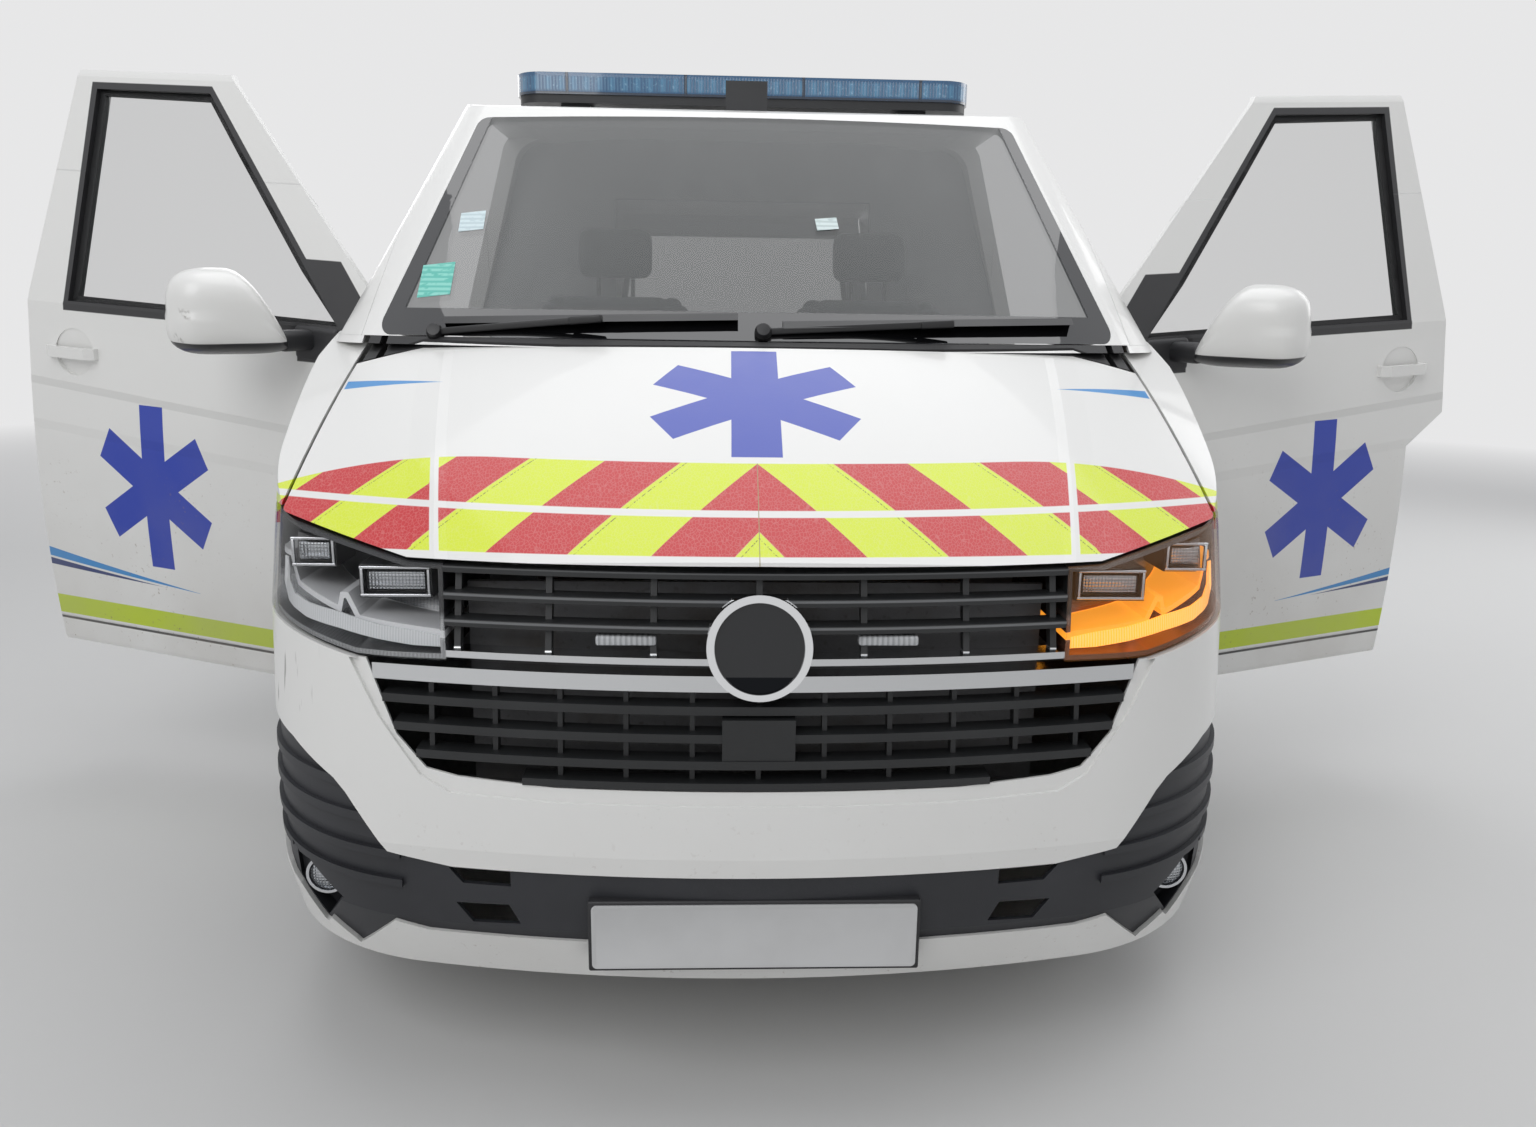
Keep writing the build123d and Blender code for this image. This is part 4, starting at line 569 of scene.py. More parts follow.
class VAN_OT_stage(bpy.types.Operator):
    """Camera, lamps and a plain pale floor"""

    bl_idname = "van.stage"
    bl_label = "Stage"

    # The camera as fitted to the photo: its place, its three angles in radians and its lens
    camera_place = (-0.05635, -4.06055, 1.29975)
    pitch, yaw, roll = 0.21521, 0.04075, 0.01439
    lens_mm = 26.139
    backdrop = (0.80, 0.80, 0.805, 1)
    floor_fades = (20.0, 150.0)
    floor_half_size = 60
    lamp_target = (0, -0.6, 0.8)
    lamps = (
        # name, place, size, watts
        ("lamp_front", (-2.6, -6.0, 4.8), 4.0, 120),
        ("lamp_top", (0.5, -0.3, 6.0), 6.0, 150),
        ("lamp_left", (6.0, 1.5, 3.5), 4.0, 95),
        ("lamp_rear", (-3.0, 7.0, 4.5), 4.0, 110),
    )

    def camera(self, scene):
        """The photo's view."""
        level = Vector((cos(self.yaw), -sin(self.yaw), 0))
        ahead = Vector((sin(self.yaw), cos(self.yaw), 0))
        look = cos(self.pitch) * ahead - sin(self.pitch) * Vector((0, 0, 1))
        upright = sin(self.pitch) * ahead + cos(self.pitch) * Vector((0, 0, 1))
        right = cos(self.roll) * level + sin(self.roll) * upright
        up = cos(self.roll) * upright - sin(self.roll) * level
        camera = bpy.data.objects.new("camera", bpy.data.cameras.new("camera"))
        camera.data.sensor_width = 36
        camera.data.sensor_fit = "HORIZONTAL"
        camera.data.lens = self.lens_mm
        turn = Matrix((right, up, -look)).transposed().to_4x4()
        camera.matrix_world = Matrix.Translation(self.camera_place) @ turn
        scene.collection.objects.link(camera)
        scene.camera = camera

    def floor(self, scene):
        """A wide floor that fades into the backdrop."""
        paint = Finish("stage_floor", (0.62, 0.62, 0.615), 0.85)
        paint.roughness = paint.place.noise(9.0) * 0.1 + 0.8
        x, y = paint.place.axis("x"), paint.place.axis("y")
        far = (x * x + y * y).ramp(*self.floor_fades)
        plain = paint.start.node("ShaderNodeEmission", {}, {"Color": self.backdrop, "Strength": 1.0})
        lit = Wire(paint.tree, paint.shader.outputs[0])
        faded = paint.start.node("ShaderNodeMixShader", {}, {0: far, 1: lit, 2: plain})
        paint.tree.links.new(faded.socket, paint.tree.nodes["Material Output"].inputs["Surface"])
        bm = bmesh.new()
        bmesh.ops.create_grid(bm, x_segments=1, y_segments=1, size=self.floor_half_size)
        mesh = bpy.data.meshes.new("stage_floor")
        bm.to_mesh(mesh)
        bm.free()
        mesh.materials.append(paint.done())
        floor = bpy.data.objects.new("stage_floor", mesh)
        scene.collection.objects.link(floor)

    def world(self, scene):
        """A pale sky that lights the van half as strongly as it shows."""
        world = bpy.data.worlds.new("studio")
        world.use_nodes = True
        tree = world.node_tree
        background = tree.nodes["Background"]
        start = Wire(tree, None)
        sky = start.node("ShaderNodeTexCoord", output=0).axis("z").ramp(0.25, 1.0)
        shade = start.blend(sky, self.backdrop, (0.93, 0.95, 1, 1))
        tree.links.new(shade.socket, background.inputs["Color"])
        rays = tree.nodes.new("ShaderNodeLightPath").outputs
        seen = Wire(tree, rays["Is Camera Ray"])
        for ray in ("Is Glossy Ray", "Is Transmission Ray"):
            seen = seen.most(Wire(tree, rays[ray]))
        tree.links.new((seen * 0.5 + 0.5).socket, background.inputs["Strength"])
        scene.world = world

    def execute(self, context):
        scene = context.scene
        scene.view_settings.view_transform = "Standard"
        self.camera(scene)
        self.floor(scene)
        self.world(scene)
        for name, place, size, watts in self.lamps:
            light = bpy.data.lights.new(name, "AREA")
            light.size = size
            light.energy = watts
            lamp = bpy.data.objects.new(name, light)
            lamp.location = place
            lamp.rotation_euler = (Vector(self.lamp_target) - Vector(place)).to_track_quat("-Z", "Y").to_euler()
            scene.collection.objects.link(lamp)
        return {"FINISHED"}


class VAN_OT_body_paint(bpy.types.Operator):
    """White paint with the markings of each panel"""

    bl_idname = "van.body_paint"
    bl_label = "Body paint"

    # The slanted front edge of the door window: a station at a height, and its lean
    window_foot = (1.290, 1.264)
    window_lean = 0.8475

    def black_frame(self, station, height):
        """The black strips round a door's window and the block at its front corner."""
        slanted = station - self.window_foot[0] - (height - self.window_foot[1]) * self.window_lean
        strips = (
            # lower and upper height, what is measured, its least and its greatest, softness of those two
            (1.240, 1.415, slanted, -0.115, 0.018, 0.001),
            (1.172, 1.262, station, 1.200, 1.400, 0.001),
            (1.240, 1.270, station, 1.280, 2.100, 0.001),
            (1.260, 1.812, slanted, -0.018, 0.010, 0.0006),
            (1.240, 1.812, station, 2.080, 2.102, 0.001),
            (1.790, 1.812, station, 1.740, 2.102, 0.001),
        )
        black = None
        for low, high, measured, least, greatest, soft in strips:
            strip = height.between(low, high, 0.001) * measured.between(least, greatest, soft)
            black = strip if black is None else black.most(strip)
        return black

    def door(self, side):
        """Paint outside with the side's marks, and a grey lining inside."""
        finish = gloss_paint(f"door_paint_{side}")
        closed = finish.turned(closed_door_matrix(side))
        height = closed.axis("z")
        station = closed.station()
        inner = (abs(closed.axis("x")) + (height - 1.0).most(0.0) * 0.18).under(0.872, 0.002)
        side_marks(finish, closed, DOOR_STAR)
        road_dirt(finish, closed, 1.02, 0.75)
        board = inner * height.between(0.47, 1.19) * station.between(1.27, 2.12)
        finish.mix(board, (0.085, 0.088, 0.095))
        finish.mix(board * height.between(0.47, 0.70), (0.045, 0.046, 0.05))
        black = self.black_frame(station, height) * (1 - inner)
        finish.mix(black, BLACK_PLASTIC)
        finish.roughness = finish.roughness + board * 0.35 + black * 0.2
        cover(finish.done(), f"front_door_{side}")

    def execute(self, context):
        for side, _ in SIDES:
            self.door(side)

        finish = gloss_paint("side_paint")
        side_marks(finish, finish.place)
        road_dirt(finish, finish.place, 0.9, 0.6)
        cover(finish.done(), "bodyside_left", "bodyside_right", "sliding_door", "fuel_flap")

        finish = gloss_paint("nose_paint")
        shown = nose_marks(finish, finish.place)
        finish.roughness = finish.roughness + shown * 0.12
        cover(finish.done(), "bonnet")

        finish = gloss_paint("wing_paint")
        nose_marks(finish, finish.place)
        road_dirt(finish, finish.place, 0.8, 0.5)
        cover(finish.done(), "wing_left", "wing_right")

        finish = gloss_paint("bumper_paint")
        road_dirt(finish, finish.place, 0.6, 0.35)
        scuffs = finish.place.stretched((40, 40, 6)).noise(1.0, 3.0).ramp(0.62, 0.66)
        corner = finish.place.axis("x").under(-0.74, 0.03) * finish.place.axis("z").between(0.56, 0.80, 0.03)
        finish.mix(scuffs * corner * 0.8, (0.22, 0.21, 0.20))
        cover(finish.done(), "front_bumper")

        finish = gloss_paint("upper_paint")
        road_dirt(finish, finish.place, 0.8, 0.6)
        cover(finish.done(), "roof", "tailgate")
        return {"FINISHED"}


class VAN_OT_glass(bpy.types.Operator):
    """Green-tinted glass with its printed black edges"""

    bl_idname = "van.glass"
    bl_label = "Glass"

    def pane(self, name, edge=None, tint=0.15):
        """A pane that is clearer straight on than at a slant."""
        finish = Finish(name, (0.008, 0.014, 0.013), 0.02, specular_ior_level=0.8)
        clear = (finish.slant().power(4.0) * 0.75 + tint).least(1.0)
        if edge is not None:
            mask = edge(abs(finish.place.axis("x")), finish.place.axis("z"))
            clear = clear.most(mask)
            finish.mix(mask, (0.004, 0.004, 0.0045))
        finish.roughness = finish.place.noise(3.0) * 0.015 + 0.008
        finish.set("Alpha", clear)
        return finish.done()

    def windscreen_edge(self, across, height):
        side = across + (height - 1.258) * 0.172
        return side.over(0.752, 0.002).most(height.under(1.315, 0.002)).most(height.over(1.815, 0.002))

    def side_edge(self, across, height):
        return height.under(1.295, 0.001).most(height.over(1.755, 0.001))

    def tail_edge(self, across, height):
        return (across + (height - 1.3) * 0.16).over(0.62, 0.001).most(height.over(1.80, 0.001))

    def execute(self, context):
        cover(self.pane("windscreen_glass", self.windscreen_edge, 0.42), "windscreen")
        cover(self.pane("side_glass", self.side_edge, 0.35), "side_windows")
        cover(self.pane("tail_glass", self.tail_edge, 0.35), "tailgate_glass")
        cover(self.pane("door_pane"), "door_glass_left", "door_glass_right")
        return {"FINISHED"}


class VAN_OT_front_trim(bpy.types.Operator):
    """Grilles with their bright strips, black trims and lamp housings"""

    bl_idname = "van.front_trim"
    bl_label = "Front trim"

    # Half widths and heights of the thin light guide inside a headlight
    thin_guide = (
        (0.494, 0.810),
        (0.643, 0.821),
        (0.667, 0.853),
        (0.677, 0.852),
        (0.681, 0.830),
        (0.777, 0.852),
        (0.806, 0.893),
        (0.850, 0.886),
    )
    disc_height = 0.806
    disc_radius = 0.0825
    rim_radius = 0.0695

    def grilles(self):
        """Black slats with bright strips and painted highlights along their front edges, and the disc with its
        bright ring.
        """
        finish = grained("grille_plastic", (0.016, 0.017, 0.018), 0.38)
        across = finish.place.axis("x")
        height = finish.place.axis("z")
        facing = finish.start.node("ShaderNodeNewGeometry", output=1).axis("y").under(-0.35, 0.1)
        # Grey lines on the forward-facing tops of the slats: painted highlights of the slat edges
        lines = height.between(0.8705, 0.8745).most(height.between(0.8305, 0.8345)) * facing
        lines = lines.most(height.between(0.9125, 0.9145) * facing * 0.5)
        finish.mix(lines, (0.16, 0.165, 0.17))
        above = height - self.disc_height
        reach = (across * across + above * above).root()
        disc = reach.under(self.disc_radius) * finish.place.station().under(0.075)
        rim = disc * reach.over(self.rim_radius)
        bright = rim.most(height.between(0.776, 0.789) * (1 - disc)).most(height.between(0.734, 0.762))
        finish.mix(bright, (0.72, 0.73, 0.74))
        finish.mix(disc * (1 - rim), (0.012, 0.013, 0.015))
        finish.set("Metallic", bright)
        finish.roughness = 0.42 - bright * 0.34 - disc * (1 - rim) * 0.3
        return finish.done()

    def housings(self):
        """Headlight bowls: dark above, ribbed and bright below, with a light guide that is lit on the left and
        a painted amber glow on the bowl below it.
        """
        finish = Finish("lamp_housing", (0.30, 0.31, 0.32), 0.3)
        across = abs(finish.place.axis("x"))
        height = finish.place.axis("z")
        light = nearest_run(across, height, self.thin_guide).under(0.0056, 0.0006)
        below = height.under(0.835, 0.01)
        lit = finish.place.axis("x").over(0.0)
        ribs = (across * 160).fraction().ramp(0.2, 0.5)
        finish.mix(1 - below, (0.025, 0.026, 0.028))
        finish.mix(below * ribs * 0.5, (0.55, 0.56, 0.57))
        # Amber below the light guide on the left: painted glow of the lit lamp on the bowl
        finish.mix(below * lit * 0.85, (0.22, 0.060, 0.012))
        finish.mix(light, (0.75, 0.76, 0.78))
        finish.mix(light * lit, colours().running_light)
        finish.set("Emission Strength", 0.9)
        glow = finish.start.blend(light * lit, (0, 0, 0, 1), (*colours().running_light, 1))
        finish.set("Emission Color", glow)
        finish.set("Metallic", below * (1 - light) * 0.8)
        finish.roughness = 0.35 - below * 0.15
        return finish.done()

    def clear_covers(self):
        """Clear covers, with a painted amber glow on the left from its lit lamp."""
        finish = Finish("lamp_cover", (0.02, 0.02, 0.021), 0.03, specular_ior_level=0.7)
        lit = finish.place.axis("x").over(0.0)
        # The left cover is tinted amber: painted glow of the lit lamp behind it
        finish.mix(lit, (0.30, 0.12, 0.02))
        finish.set("Alpha", (finish.slant().power(4.0) * 0.6 + 0.05 + lit * 0.05).least(1.0))
        return finish.done()

    def execute(self, context):
        cover(self.grilles(), "upper_grille", "lower_grille")
        cover(grained_plastic("trim_plastic", (0.020, 0.021, 0.025), 0.5), "bumper_corner_trims")
        cover(grained_plastic("cowl_plastic", (0.014, 0.014, 0.015), 0.6), "cowl_panel")
        cover(self.housings(), "headlights")
        cover(self.clear_covers(), "headlight_lenses")
        return {"FINISHED"}


class VAN_OT_lamps(bpy.types.Operator):
    """Projectors, fog lamps, grille flashers and side repeaters"""

    bl_idname = "van.lamps"
    bl_label = "Lamps"

    # The broad light guide: half width, height and half the band's height
    broad_guide = (
        (0.496, 0.797, 0.008),
        (0.546, 0.8005, 0.0115),
        (0.607, 0.8055, 0.011),
        (0.675, 0.815, 0.012),
        (0.745, 0.8195, 0.012),
        (0.785, 0.829, 0.0115),
        (0.802, 0.852, 0.009),
        (0.806, 0.892, 0.006),
    )
    projectors = (
        # inner and outer half width, low and high, station of its face
        (0.529, 0.645, 0.850, 0.905, 0.172),
        (0.711, 0.786, 0.880, 0.934, 0.264),
    )
    fog_lamp = (0.752, 0.334)
    flashers = (
        # side, middle's X and height
        ("left", 0.203, 0.8150),
        ("right", -0.2075, 0.8140),
    )
    stop_lamp_height = 1.845

    def lens(self):
        """Clear lamp glass over a grid of small optics."""
        finish = Finish("lamp_lens", (0.30, 0.32, 0.34), 0.06, coat_weight=1.0)
        finish.set("Metallic", 0.85)
        columns, rows = [(finish.place.axis(name) * 180).fraction().ramp(0.0, 0.5) for name in ("x", "z")]
        grid = columns * rows
        finish.mix(grid * 0.6, (0.75, 0.77, 0.80))
        finish.roughness = grid * 0.1 + 0.04
        finish.bump(grid, 0.0012)
        return finish.done()

    def projector_pair(self, side, sign, lens, bright):
        """The two square lenses of a headlight, each in a bright bezel of four bars."""
        glass, rims = bmesh.new(), bmesh.new()
        bar = 0.005
        for inner, outer, low, high, face in self.projectors:
            x, y, z = sign * (inner + outer) / 2, along(face), (low + high) / 2
            wide, tall = outer - inner - 0.022, high - low - 0.022
            rounded_block(glass, (x, y + 0.009, z), (wide, 0.010, tall), 0.0045)
            for way in (1, -1):
                level = (x, y - 0.001, z + way * (tall / 2 + 0.0065))
                rounded_block(rims, level, (wide + 0.020, 0.006, bar), 0.0015)
            for way in (1, -1):
                upright = (x + way * (wide / 2 + 0.0065), y - 0.001, z)
                rounded_block(rims, upright, (bar, 0.006, tall + 0.010), 0.0015)
        finished(f"projector_lenses_{side}", glass, "body", lens)
        finished(f"projector_bezels_{side}", rims, "body", bright)

    def light_band(self, side, sign, glass):
        """The broad light guide along the foot of a headlight, lit amber on the left."""
        finish = Finish(f"light_guide_{side}", (0.62, 0.64, 0.66), 0.18, coat_weight=0.6)
        cells = (finish.place.axis("x") * 210).fraction().ramp(0.2, 0.5)
        finish.mix(cells * 0.5, (0.86, 0.88, 0.90))
        if side == "left":
            finish.mix(cells.most(0.6), colours().running_light)
            finish.set("Emission Color", (*colours().running_light, 1))
            finish.set("Emission Strength", 1.5)
        finish.roughness = cells * 0.1 + 0.15
        path = self.broad_guide
        behind = Vector((0, 0.014, 0))
        bm = bmesh.new()
        bmesh.ops.create_grid(bm, x_segments=42, y_segments=4, size=0.5)
        for vert in bm.verts:
            place = (vert.co.x + 0.5) * (len(path) - 1)
            index = min(int(place), len(path) - 2)
            first, second = Vector(path[index]), Vector(path[index + 1])
            x, height, half = first.lerp(second, place - index)
            run = Vector((second.x - first.x, second.y - first.y)).normalized()
            x -= run.y * vert.co.y * 2 * half
            height += run.x * vert.co.y * 2 * half
            vert.co = glass.front(sign * x, height) + behind
        backs = bmesh.ops.extrude_face_region(bm, geom=bm.faces[:], use_keep_orig=True)["geom"]
        backs = [item for item in backs if isinstance(item, bmesh.types.BMVert)]
        bmesh.ops.translate(bm, vec=(0, 0.004, 0), verts=backs)
        finished(f"light_guide_{side}", bm, "body", finish.done())

    def fog_lamps(self, lens, bright):
        """Domed glasses in bright rings, in the bumper's corners."""
        face = Surface("bumper_corner_trims")
        dome = [(0, -0.010), (0.012, -0.0092), (0.022, -0.0065), (0.029, -0.002), (0.031, 0.004), (0, 0.004)]
        ring = [(0.031, -0.006), (0.036, -0.006), (0.037, 0.0), (0.037, 0.006), (0.031, 0.006), (0.031, -0.006)]
        for side, sign in SIDES:
            spot = face.front(sign * self.fog_lamp[0], self.fog_lamp[1])
            bm = turned(dome, spot, (0, 1, 0), 40)
            finished(f"fog_lamp_glass_{side}", bm, "body", lens)
            bm = turned(ring, spot, (0, 1, 0), 40)
            finished(f"fog_lamp_ring_{side}", bm, "body", bright)

    def grille_flashers(self):
        """Two flashers on the upper grille's slats."""
        finish = Finish("flasher_cover", (0.34, 0.35, 0.36), 0.25)
        stripes = (finish.place.axis("x") * 120).fraction().ramp(0.3, 0.6)
        finish.mix(stripes * 0.6, (0.62, 0.63, 0.65))
        finish.bump(stripes, 0.001)
        material = finish.done()
        grille = Surface("upper_grille")
        for side, x, height in self.flashers:
            slat = grille.front(x, 0.830)
            bm = blocks(((x, slat.y + 0.014, height - 0.004), (0.094, 0.022, 0.016), 0.004))
            finished(f"grille_flasher_{side}", bm, "body", material)

    def side_repeaters(self):
        """Amber repeaters on the wings."""
        finish = uneven_gloss("repeater_amber", (0.75, 0.20, 0.01), 40.0, 0.1, 0.1, coat_weight=1.0)
        finish.bump((finish.place.axis("y") * 300).fraction(), 0.0006)
        material = finish.done()
        for side, sign in SIDES:
            spot = Surface(f"wing_{side}").hit((sign * 2, along(1.135), 0.860), (-sign, 0, 0))
            bm = blocks((spot, (0.012, 0.062, 0.026), 0.005))
            finished(f"side_repeater_{side}", bm, "body", material)

    def high_stop_lamp(self):
        """The stop lamp over the tailgate's window."""
        finish = uneven_gloss("stop_lamp_red", (0.36, 0.008, 0.010), 40.0, 0.1, 0.12, coat_weight=1.0)
        finish.bump((finish.place.axis("x") * 110).fraction().ramp(0.1, 0.5), 0.001)
        spot = Surface("tailgate").back(0, self.stop_lamp_height)
        bm = blocks(((0, spot.y + 0.002, self.stop_lamp_height), (0.330, 0.018, 0.030), 0.006))
        finished("high_stop_lamp", bm, "tailgate_lid", finish.done())

    def execute(self, context):
        lens = self.lens()
        bright = uneven_gloss("lamp_bezel", (0.62, 0.63, 0.65), 60.0, 0.1, 0.1, 1.0).done()
        for side, sign in SIDES:
            self.projector_pair(side, sign, lens, bright)
        glass = Surface("headlight_lenses")
        for side, sign in SIDES:
            self.light_band(side, sign, glass)
        self.fog_lamps(lens, bright)
        self.grille_flashers()
        self.side_repeaters()
        self.high_stop_lamp()
        return {"FINISHED"}


class VAN_OT_tail(bpy.types.Operator):
    """Tail lamps in their coloured bands, the rear bumper and its reflectors"""

    bl_idname = "van.tail"
    bl_label = "Tail"

    def lamp_bands(self):
        """Red with an amber and a clear band, parted by thin black lines."""
        finish = Finish("tail_lamp_cover", (0.42, 0.008, 0.010), 0.12, coat_weight=1.0)
        height = finish.place.axis("z")
        finish.mix(height.between(1.075, 1.150), (0.85, 0.28, 0.02))
        finish.mix(height.between(0.995, 1.068), (0.78, 0.79, 0.80))
        finish.mix(height.between(1.068, 1.075).most(height.between(1.150, 1.156)), (0.05, 0.05, 0.05))
        optics = (height * 90).fraction().ramp(0.1, 0.5)
        finish.bump(optics, 0.0012)
        finish.roughness = optics * 0.08 + 0.08
        return finish.done()

    def execute(self, context):
        cover(self.lamp_bands(), "tail_lamps")
        cover(grained_plastic("rear_bumper_plastic", (0.022, 0.023, 0.026), 0.55), "rear_bumper")
        finish = Finish("reflector_red", (0.42, 0.010, 0.012), 0.2, coat_weight=1.0)
        cells = finish.start.node("ShaderNodeTexVoronoi", {}, {"Vector": finish.place, "Scale": 240.0})
        finish.bump(cells, 0.001)
        finish.roughness = cells * 0.2 + 0.1
        material = finish.done()
        bumper = Surface("rear_bumper")
        for side, sign in SIDES:
            bm = blocks((bumper.back(sign * 0.62, 0.42), (0.130, 0.012, 0.034), 0.005))
            finished(f"rear_reflector_{side}", bm, "body", material)
        return {"FINISHED"}


class VAN_OT_plate(bpy.types.Operator):
    """The blank number plate in its holder"""

    bl_idname = "van.plate"
    bl_label = "Number plate"

    middle_x = -0.003
    middle_height = 0.335
    stand_off = 0.004
    thickness = 0.003
    holder_rim = 0.012

    def execute(self, context):
        finish = uneven_gloss("plate_enamel", (0.56, 0.565, 0.57), 30.0, 0.2, 0.25, coat_weight=0.4)
        finish.mix(finish.place.noise(12.0).ramp(0.4, 0.8) * 0.3, (0.44, 0.44, 0.44))
        holder = grained_plastic("plate_holder_plastic", (0.018, 0.018, 0.020), 0.5)
        wide, tall = sizes().plate_width, sizes().plate_height
        x, height = self.middle_x, self.middle_height
        face = Surface("bumper_corner_trims", "front_bumper")
        steps = (-0.5, 0, 0.5)
        reach = [face.front(x + step * wide, height + rise * tall).y for step in steps for rise in steps]
        front = min(reach) - self.stand_off
        depth = max(reach) - front + self.stand_off
        size = (wide + self.holder_rim, depth, tall + self.holder_rim)
        bm = blocks(((x, front + depth / 2, height), size, 0.0035))
        finished("plate_holder", bm, "body", holder)

        bm = bmesh.new()
        place = Matrix.Translation((x, front - 0.0008, height))
        bmesh.ops.create_cube(bm, size=1, matrix=place @ Matrix.Diagonal((wide, self.thickness, tall, 1)))
        rises = {edge: abs(edge.verts[0].co.y - edge.verts[1].co.y) for edge in bm.edges}
        upright = [edge for edge, rise in rises.items() if rise > self.thickness / 2]
        bmesh.ops.bevel(bm, geom=upright, offset=0.008, affect="EDGES", segments=5, profile=0.5, material=-1)
        shown = min(bm.faces, key=lambda face: face.calc_center_median().y)
        bmesh.ops.inset_region(bm, faces=[shown], thickness=0.004, depth=0)
        bmesh.ops.inset_region(bm, faces=[shown], thickness=0.0015, depth=-0.0008)
        finished("number_plate", bm, "body", finish.done())
        return {"FINISHED"}


class VAN_OT_mirrors(bpy.types.Operator):
    """Door mirrors: painted cap, black shell and arm, and reflecting glass"""

    bl_idname = "van.mirrors"
    bl_label = "Mirrors"

    # A closed door's mirror: its middle, the sweep of its housing in degrees and its size
    middle = (1.090, 1.457, 1.2925)
    sweep = 34.6
    housing_size = (0.255, 0.146, 0.195)
    glass_size = (0.222, 0.006, 0.160)
    glass_shift = (0.002, 0.0635, -0.002)

    def shell(self, place, size):
        """A block drawn out into a full shell, domed above, lower towards its arm and flat behind."""
        bm = bmesh.new()
        bmesh.ops.create_cube(bm, size=2)
        bmesh.ops.subdivide_edges(bm, edges=bm.edges[:], cuts=13, use_grid_fill=True)
        for vert in bm.verts:
            x, y, z = vert.co
            power = 3.2 if z > 0 else 4.6
            reach = (abs(x) ** power + abs(y) ** power + abs(z) ** power) ** (1 / power)
            x, y, z = x / reach, y / reach, z / reach
            z = (z + 1) * (1 - 0.76 * max(0.0, -x) ** 1.7) - 1
            narrow = 1 - 0.16 * max(0.0, -y)
            vert.co = Vector((x * narrow, min(y, 0.86), z * narrow))
        bmesh.ops.scale(bm, vec=Vector(size) / 2, verts=bm.verts)
        bmesh.ops.transform(bm, matrix=place, verts=bm.verts)
        return bm

    def cap_paint(self, side):
        """White above a black foot and a black back edge, chipped on the right."""
        finish = gloss_paint(f"mirror_paint_{side}")
        closed = finish.turned(closed_door_matrix(side))
        across = abs(closed.axis("x")) - self.middle[0]
        behind = closed.axis("y") - along(self.middle[1])
        height = closed.axis("z")
        turn = radians(self.sweep)
        outward = across * cos(turn) + behind * sin(turn)
        rearward = behind * cos(turn) - across * sin(turn)
        black = (height - 1.2265 + outward * 0.02).under(0.0, 0.0008).most(rearward.over(0.046, 0.0008))
        if side == "right":
            rough = closed.noise(60.0, 4.0).over(0.52, 0.04) * closed.noise(16.0, 1.0).over(0.55, 0.03)
            chip = rough * outward.between(0.075, 0.118, 0.006) * height.between(1.232, 1.292, 0.012)
            finish.mix(chip, (0.10, 0.075, 0.055))
        finish.mix(black, BLACK_PLASTIC)
        finish.roughness = finish.roughness + black * 0.15
        finish.bump(black, 0.003)
        return finish.done()

    def execute(self, context):
        glass = uneven_gloss("mirror_glass", (0.80, 0.82, 0.83), 4.0, 0.02, 0.01, 1.0).done()
        plastic = grained_plastic("mirror_plastic", BLACK_PLASTIC, 0.45)
        x, station, height = self.middle
        housing = Matrix.Translation((x, along(station), height)) @ Matrix.Rotation(radians(self.sweep), 4, "Z")
        mirror = housing @ Matrix.Translation(self.glass_shift)
        swept = Matrix.Rotation(radians(14), 4, "Z")
        arm = (
            ((0.962, along(1.380), 1.226), (0.110, 0.052, 0.050), 0.018, swept, 5),
            ((0.919, along(1.345), 1.2175), (0.034, 0.125, 0.085), 0.014, None, 5),
        )
        for side, sign in SIDES:
            pieces = (
                ("mirror_cap", self.shell(housing, self.housing_size), self.cap_paint(side), "body_paint"),
                ("mirror_glass", self.shell(mirror, self.glass_size), glass, "glass"),
                ("mirror_arm", blocks(*arm), plastic, "plastic_black"),
            )
            for name, bm, material, slot in pieces:
                if sign < 0:
                    bmesh.ops.scale(bm, vec=(-1, 1, 1), verts=bm.verts)
                bmesh.ops.transform(bm, matrix=closed_door_matrix(side).inverted(), verts=bm.verts)
                piece = finished(f"{name}_{side}", bm, f"{side}_door", material)
                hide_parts(f"door_mirror_{side}")
        return {"FINISHED"}


class VAN_OT_window_frames(bpy.types.Operator):
    """Black rubber round the door windows"""

    bl_idname = "van.window_frames"
    bl_label = "Window frames"

    width = 0.020
    thickness = 0.010

    def execute(self, context):
        rubber = grained_plastic("window_rubber", DARK_PLASTIC, 0.6, 300.0)
        for side, sign in SIDES:
            closed = closed_door_matrix(side)
            bm = bmesh.new()
            bm.from_mesh(frame["nodes"][f"door_glass_{side}"].data)
            bmesh.ops.remove_doubles(bm, verts=bm.verts, dist=0.0001)
            bmesh.ops.transform(bm, matrix=closed, verts=bm.verts)
            inner = [face for face in bm.faces if face.normal.x * sign <= 0.5]
            bmesh.ops.delete(bm, geom=inner, context="FACES")
            inset = {"thickness": self.width, "depth": 0, "use_boundary": True}
            ring = set(bmesh.ops.inset_region(bm, faces=bm.faces[:], **inset)["faces"])
            bmesh.ops.delete(bm, geom=[face for face in bm.faces if face not in ring], context="FACES")
            bmesh.ops.recalc_face_normals(bm, faces=bm.faces)
            bmesh.ops.solidify(bm, geom=bm.faces[:], thickness=self.thickness)
            bmesh.ops.transform(bm, matrix=closed.inverted(), verts=bm.verts)
            finished(f"window_rubber_{side}", bm, f"{side}_door", rubber)
        return {"FINISHED"}


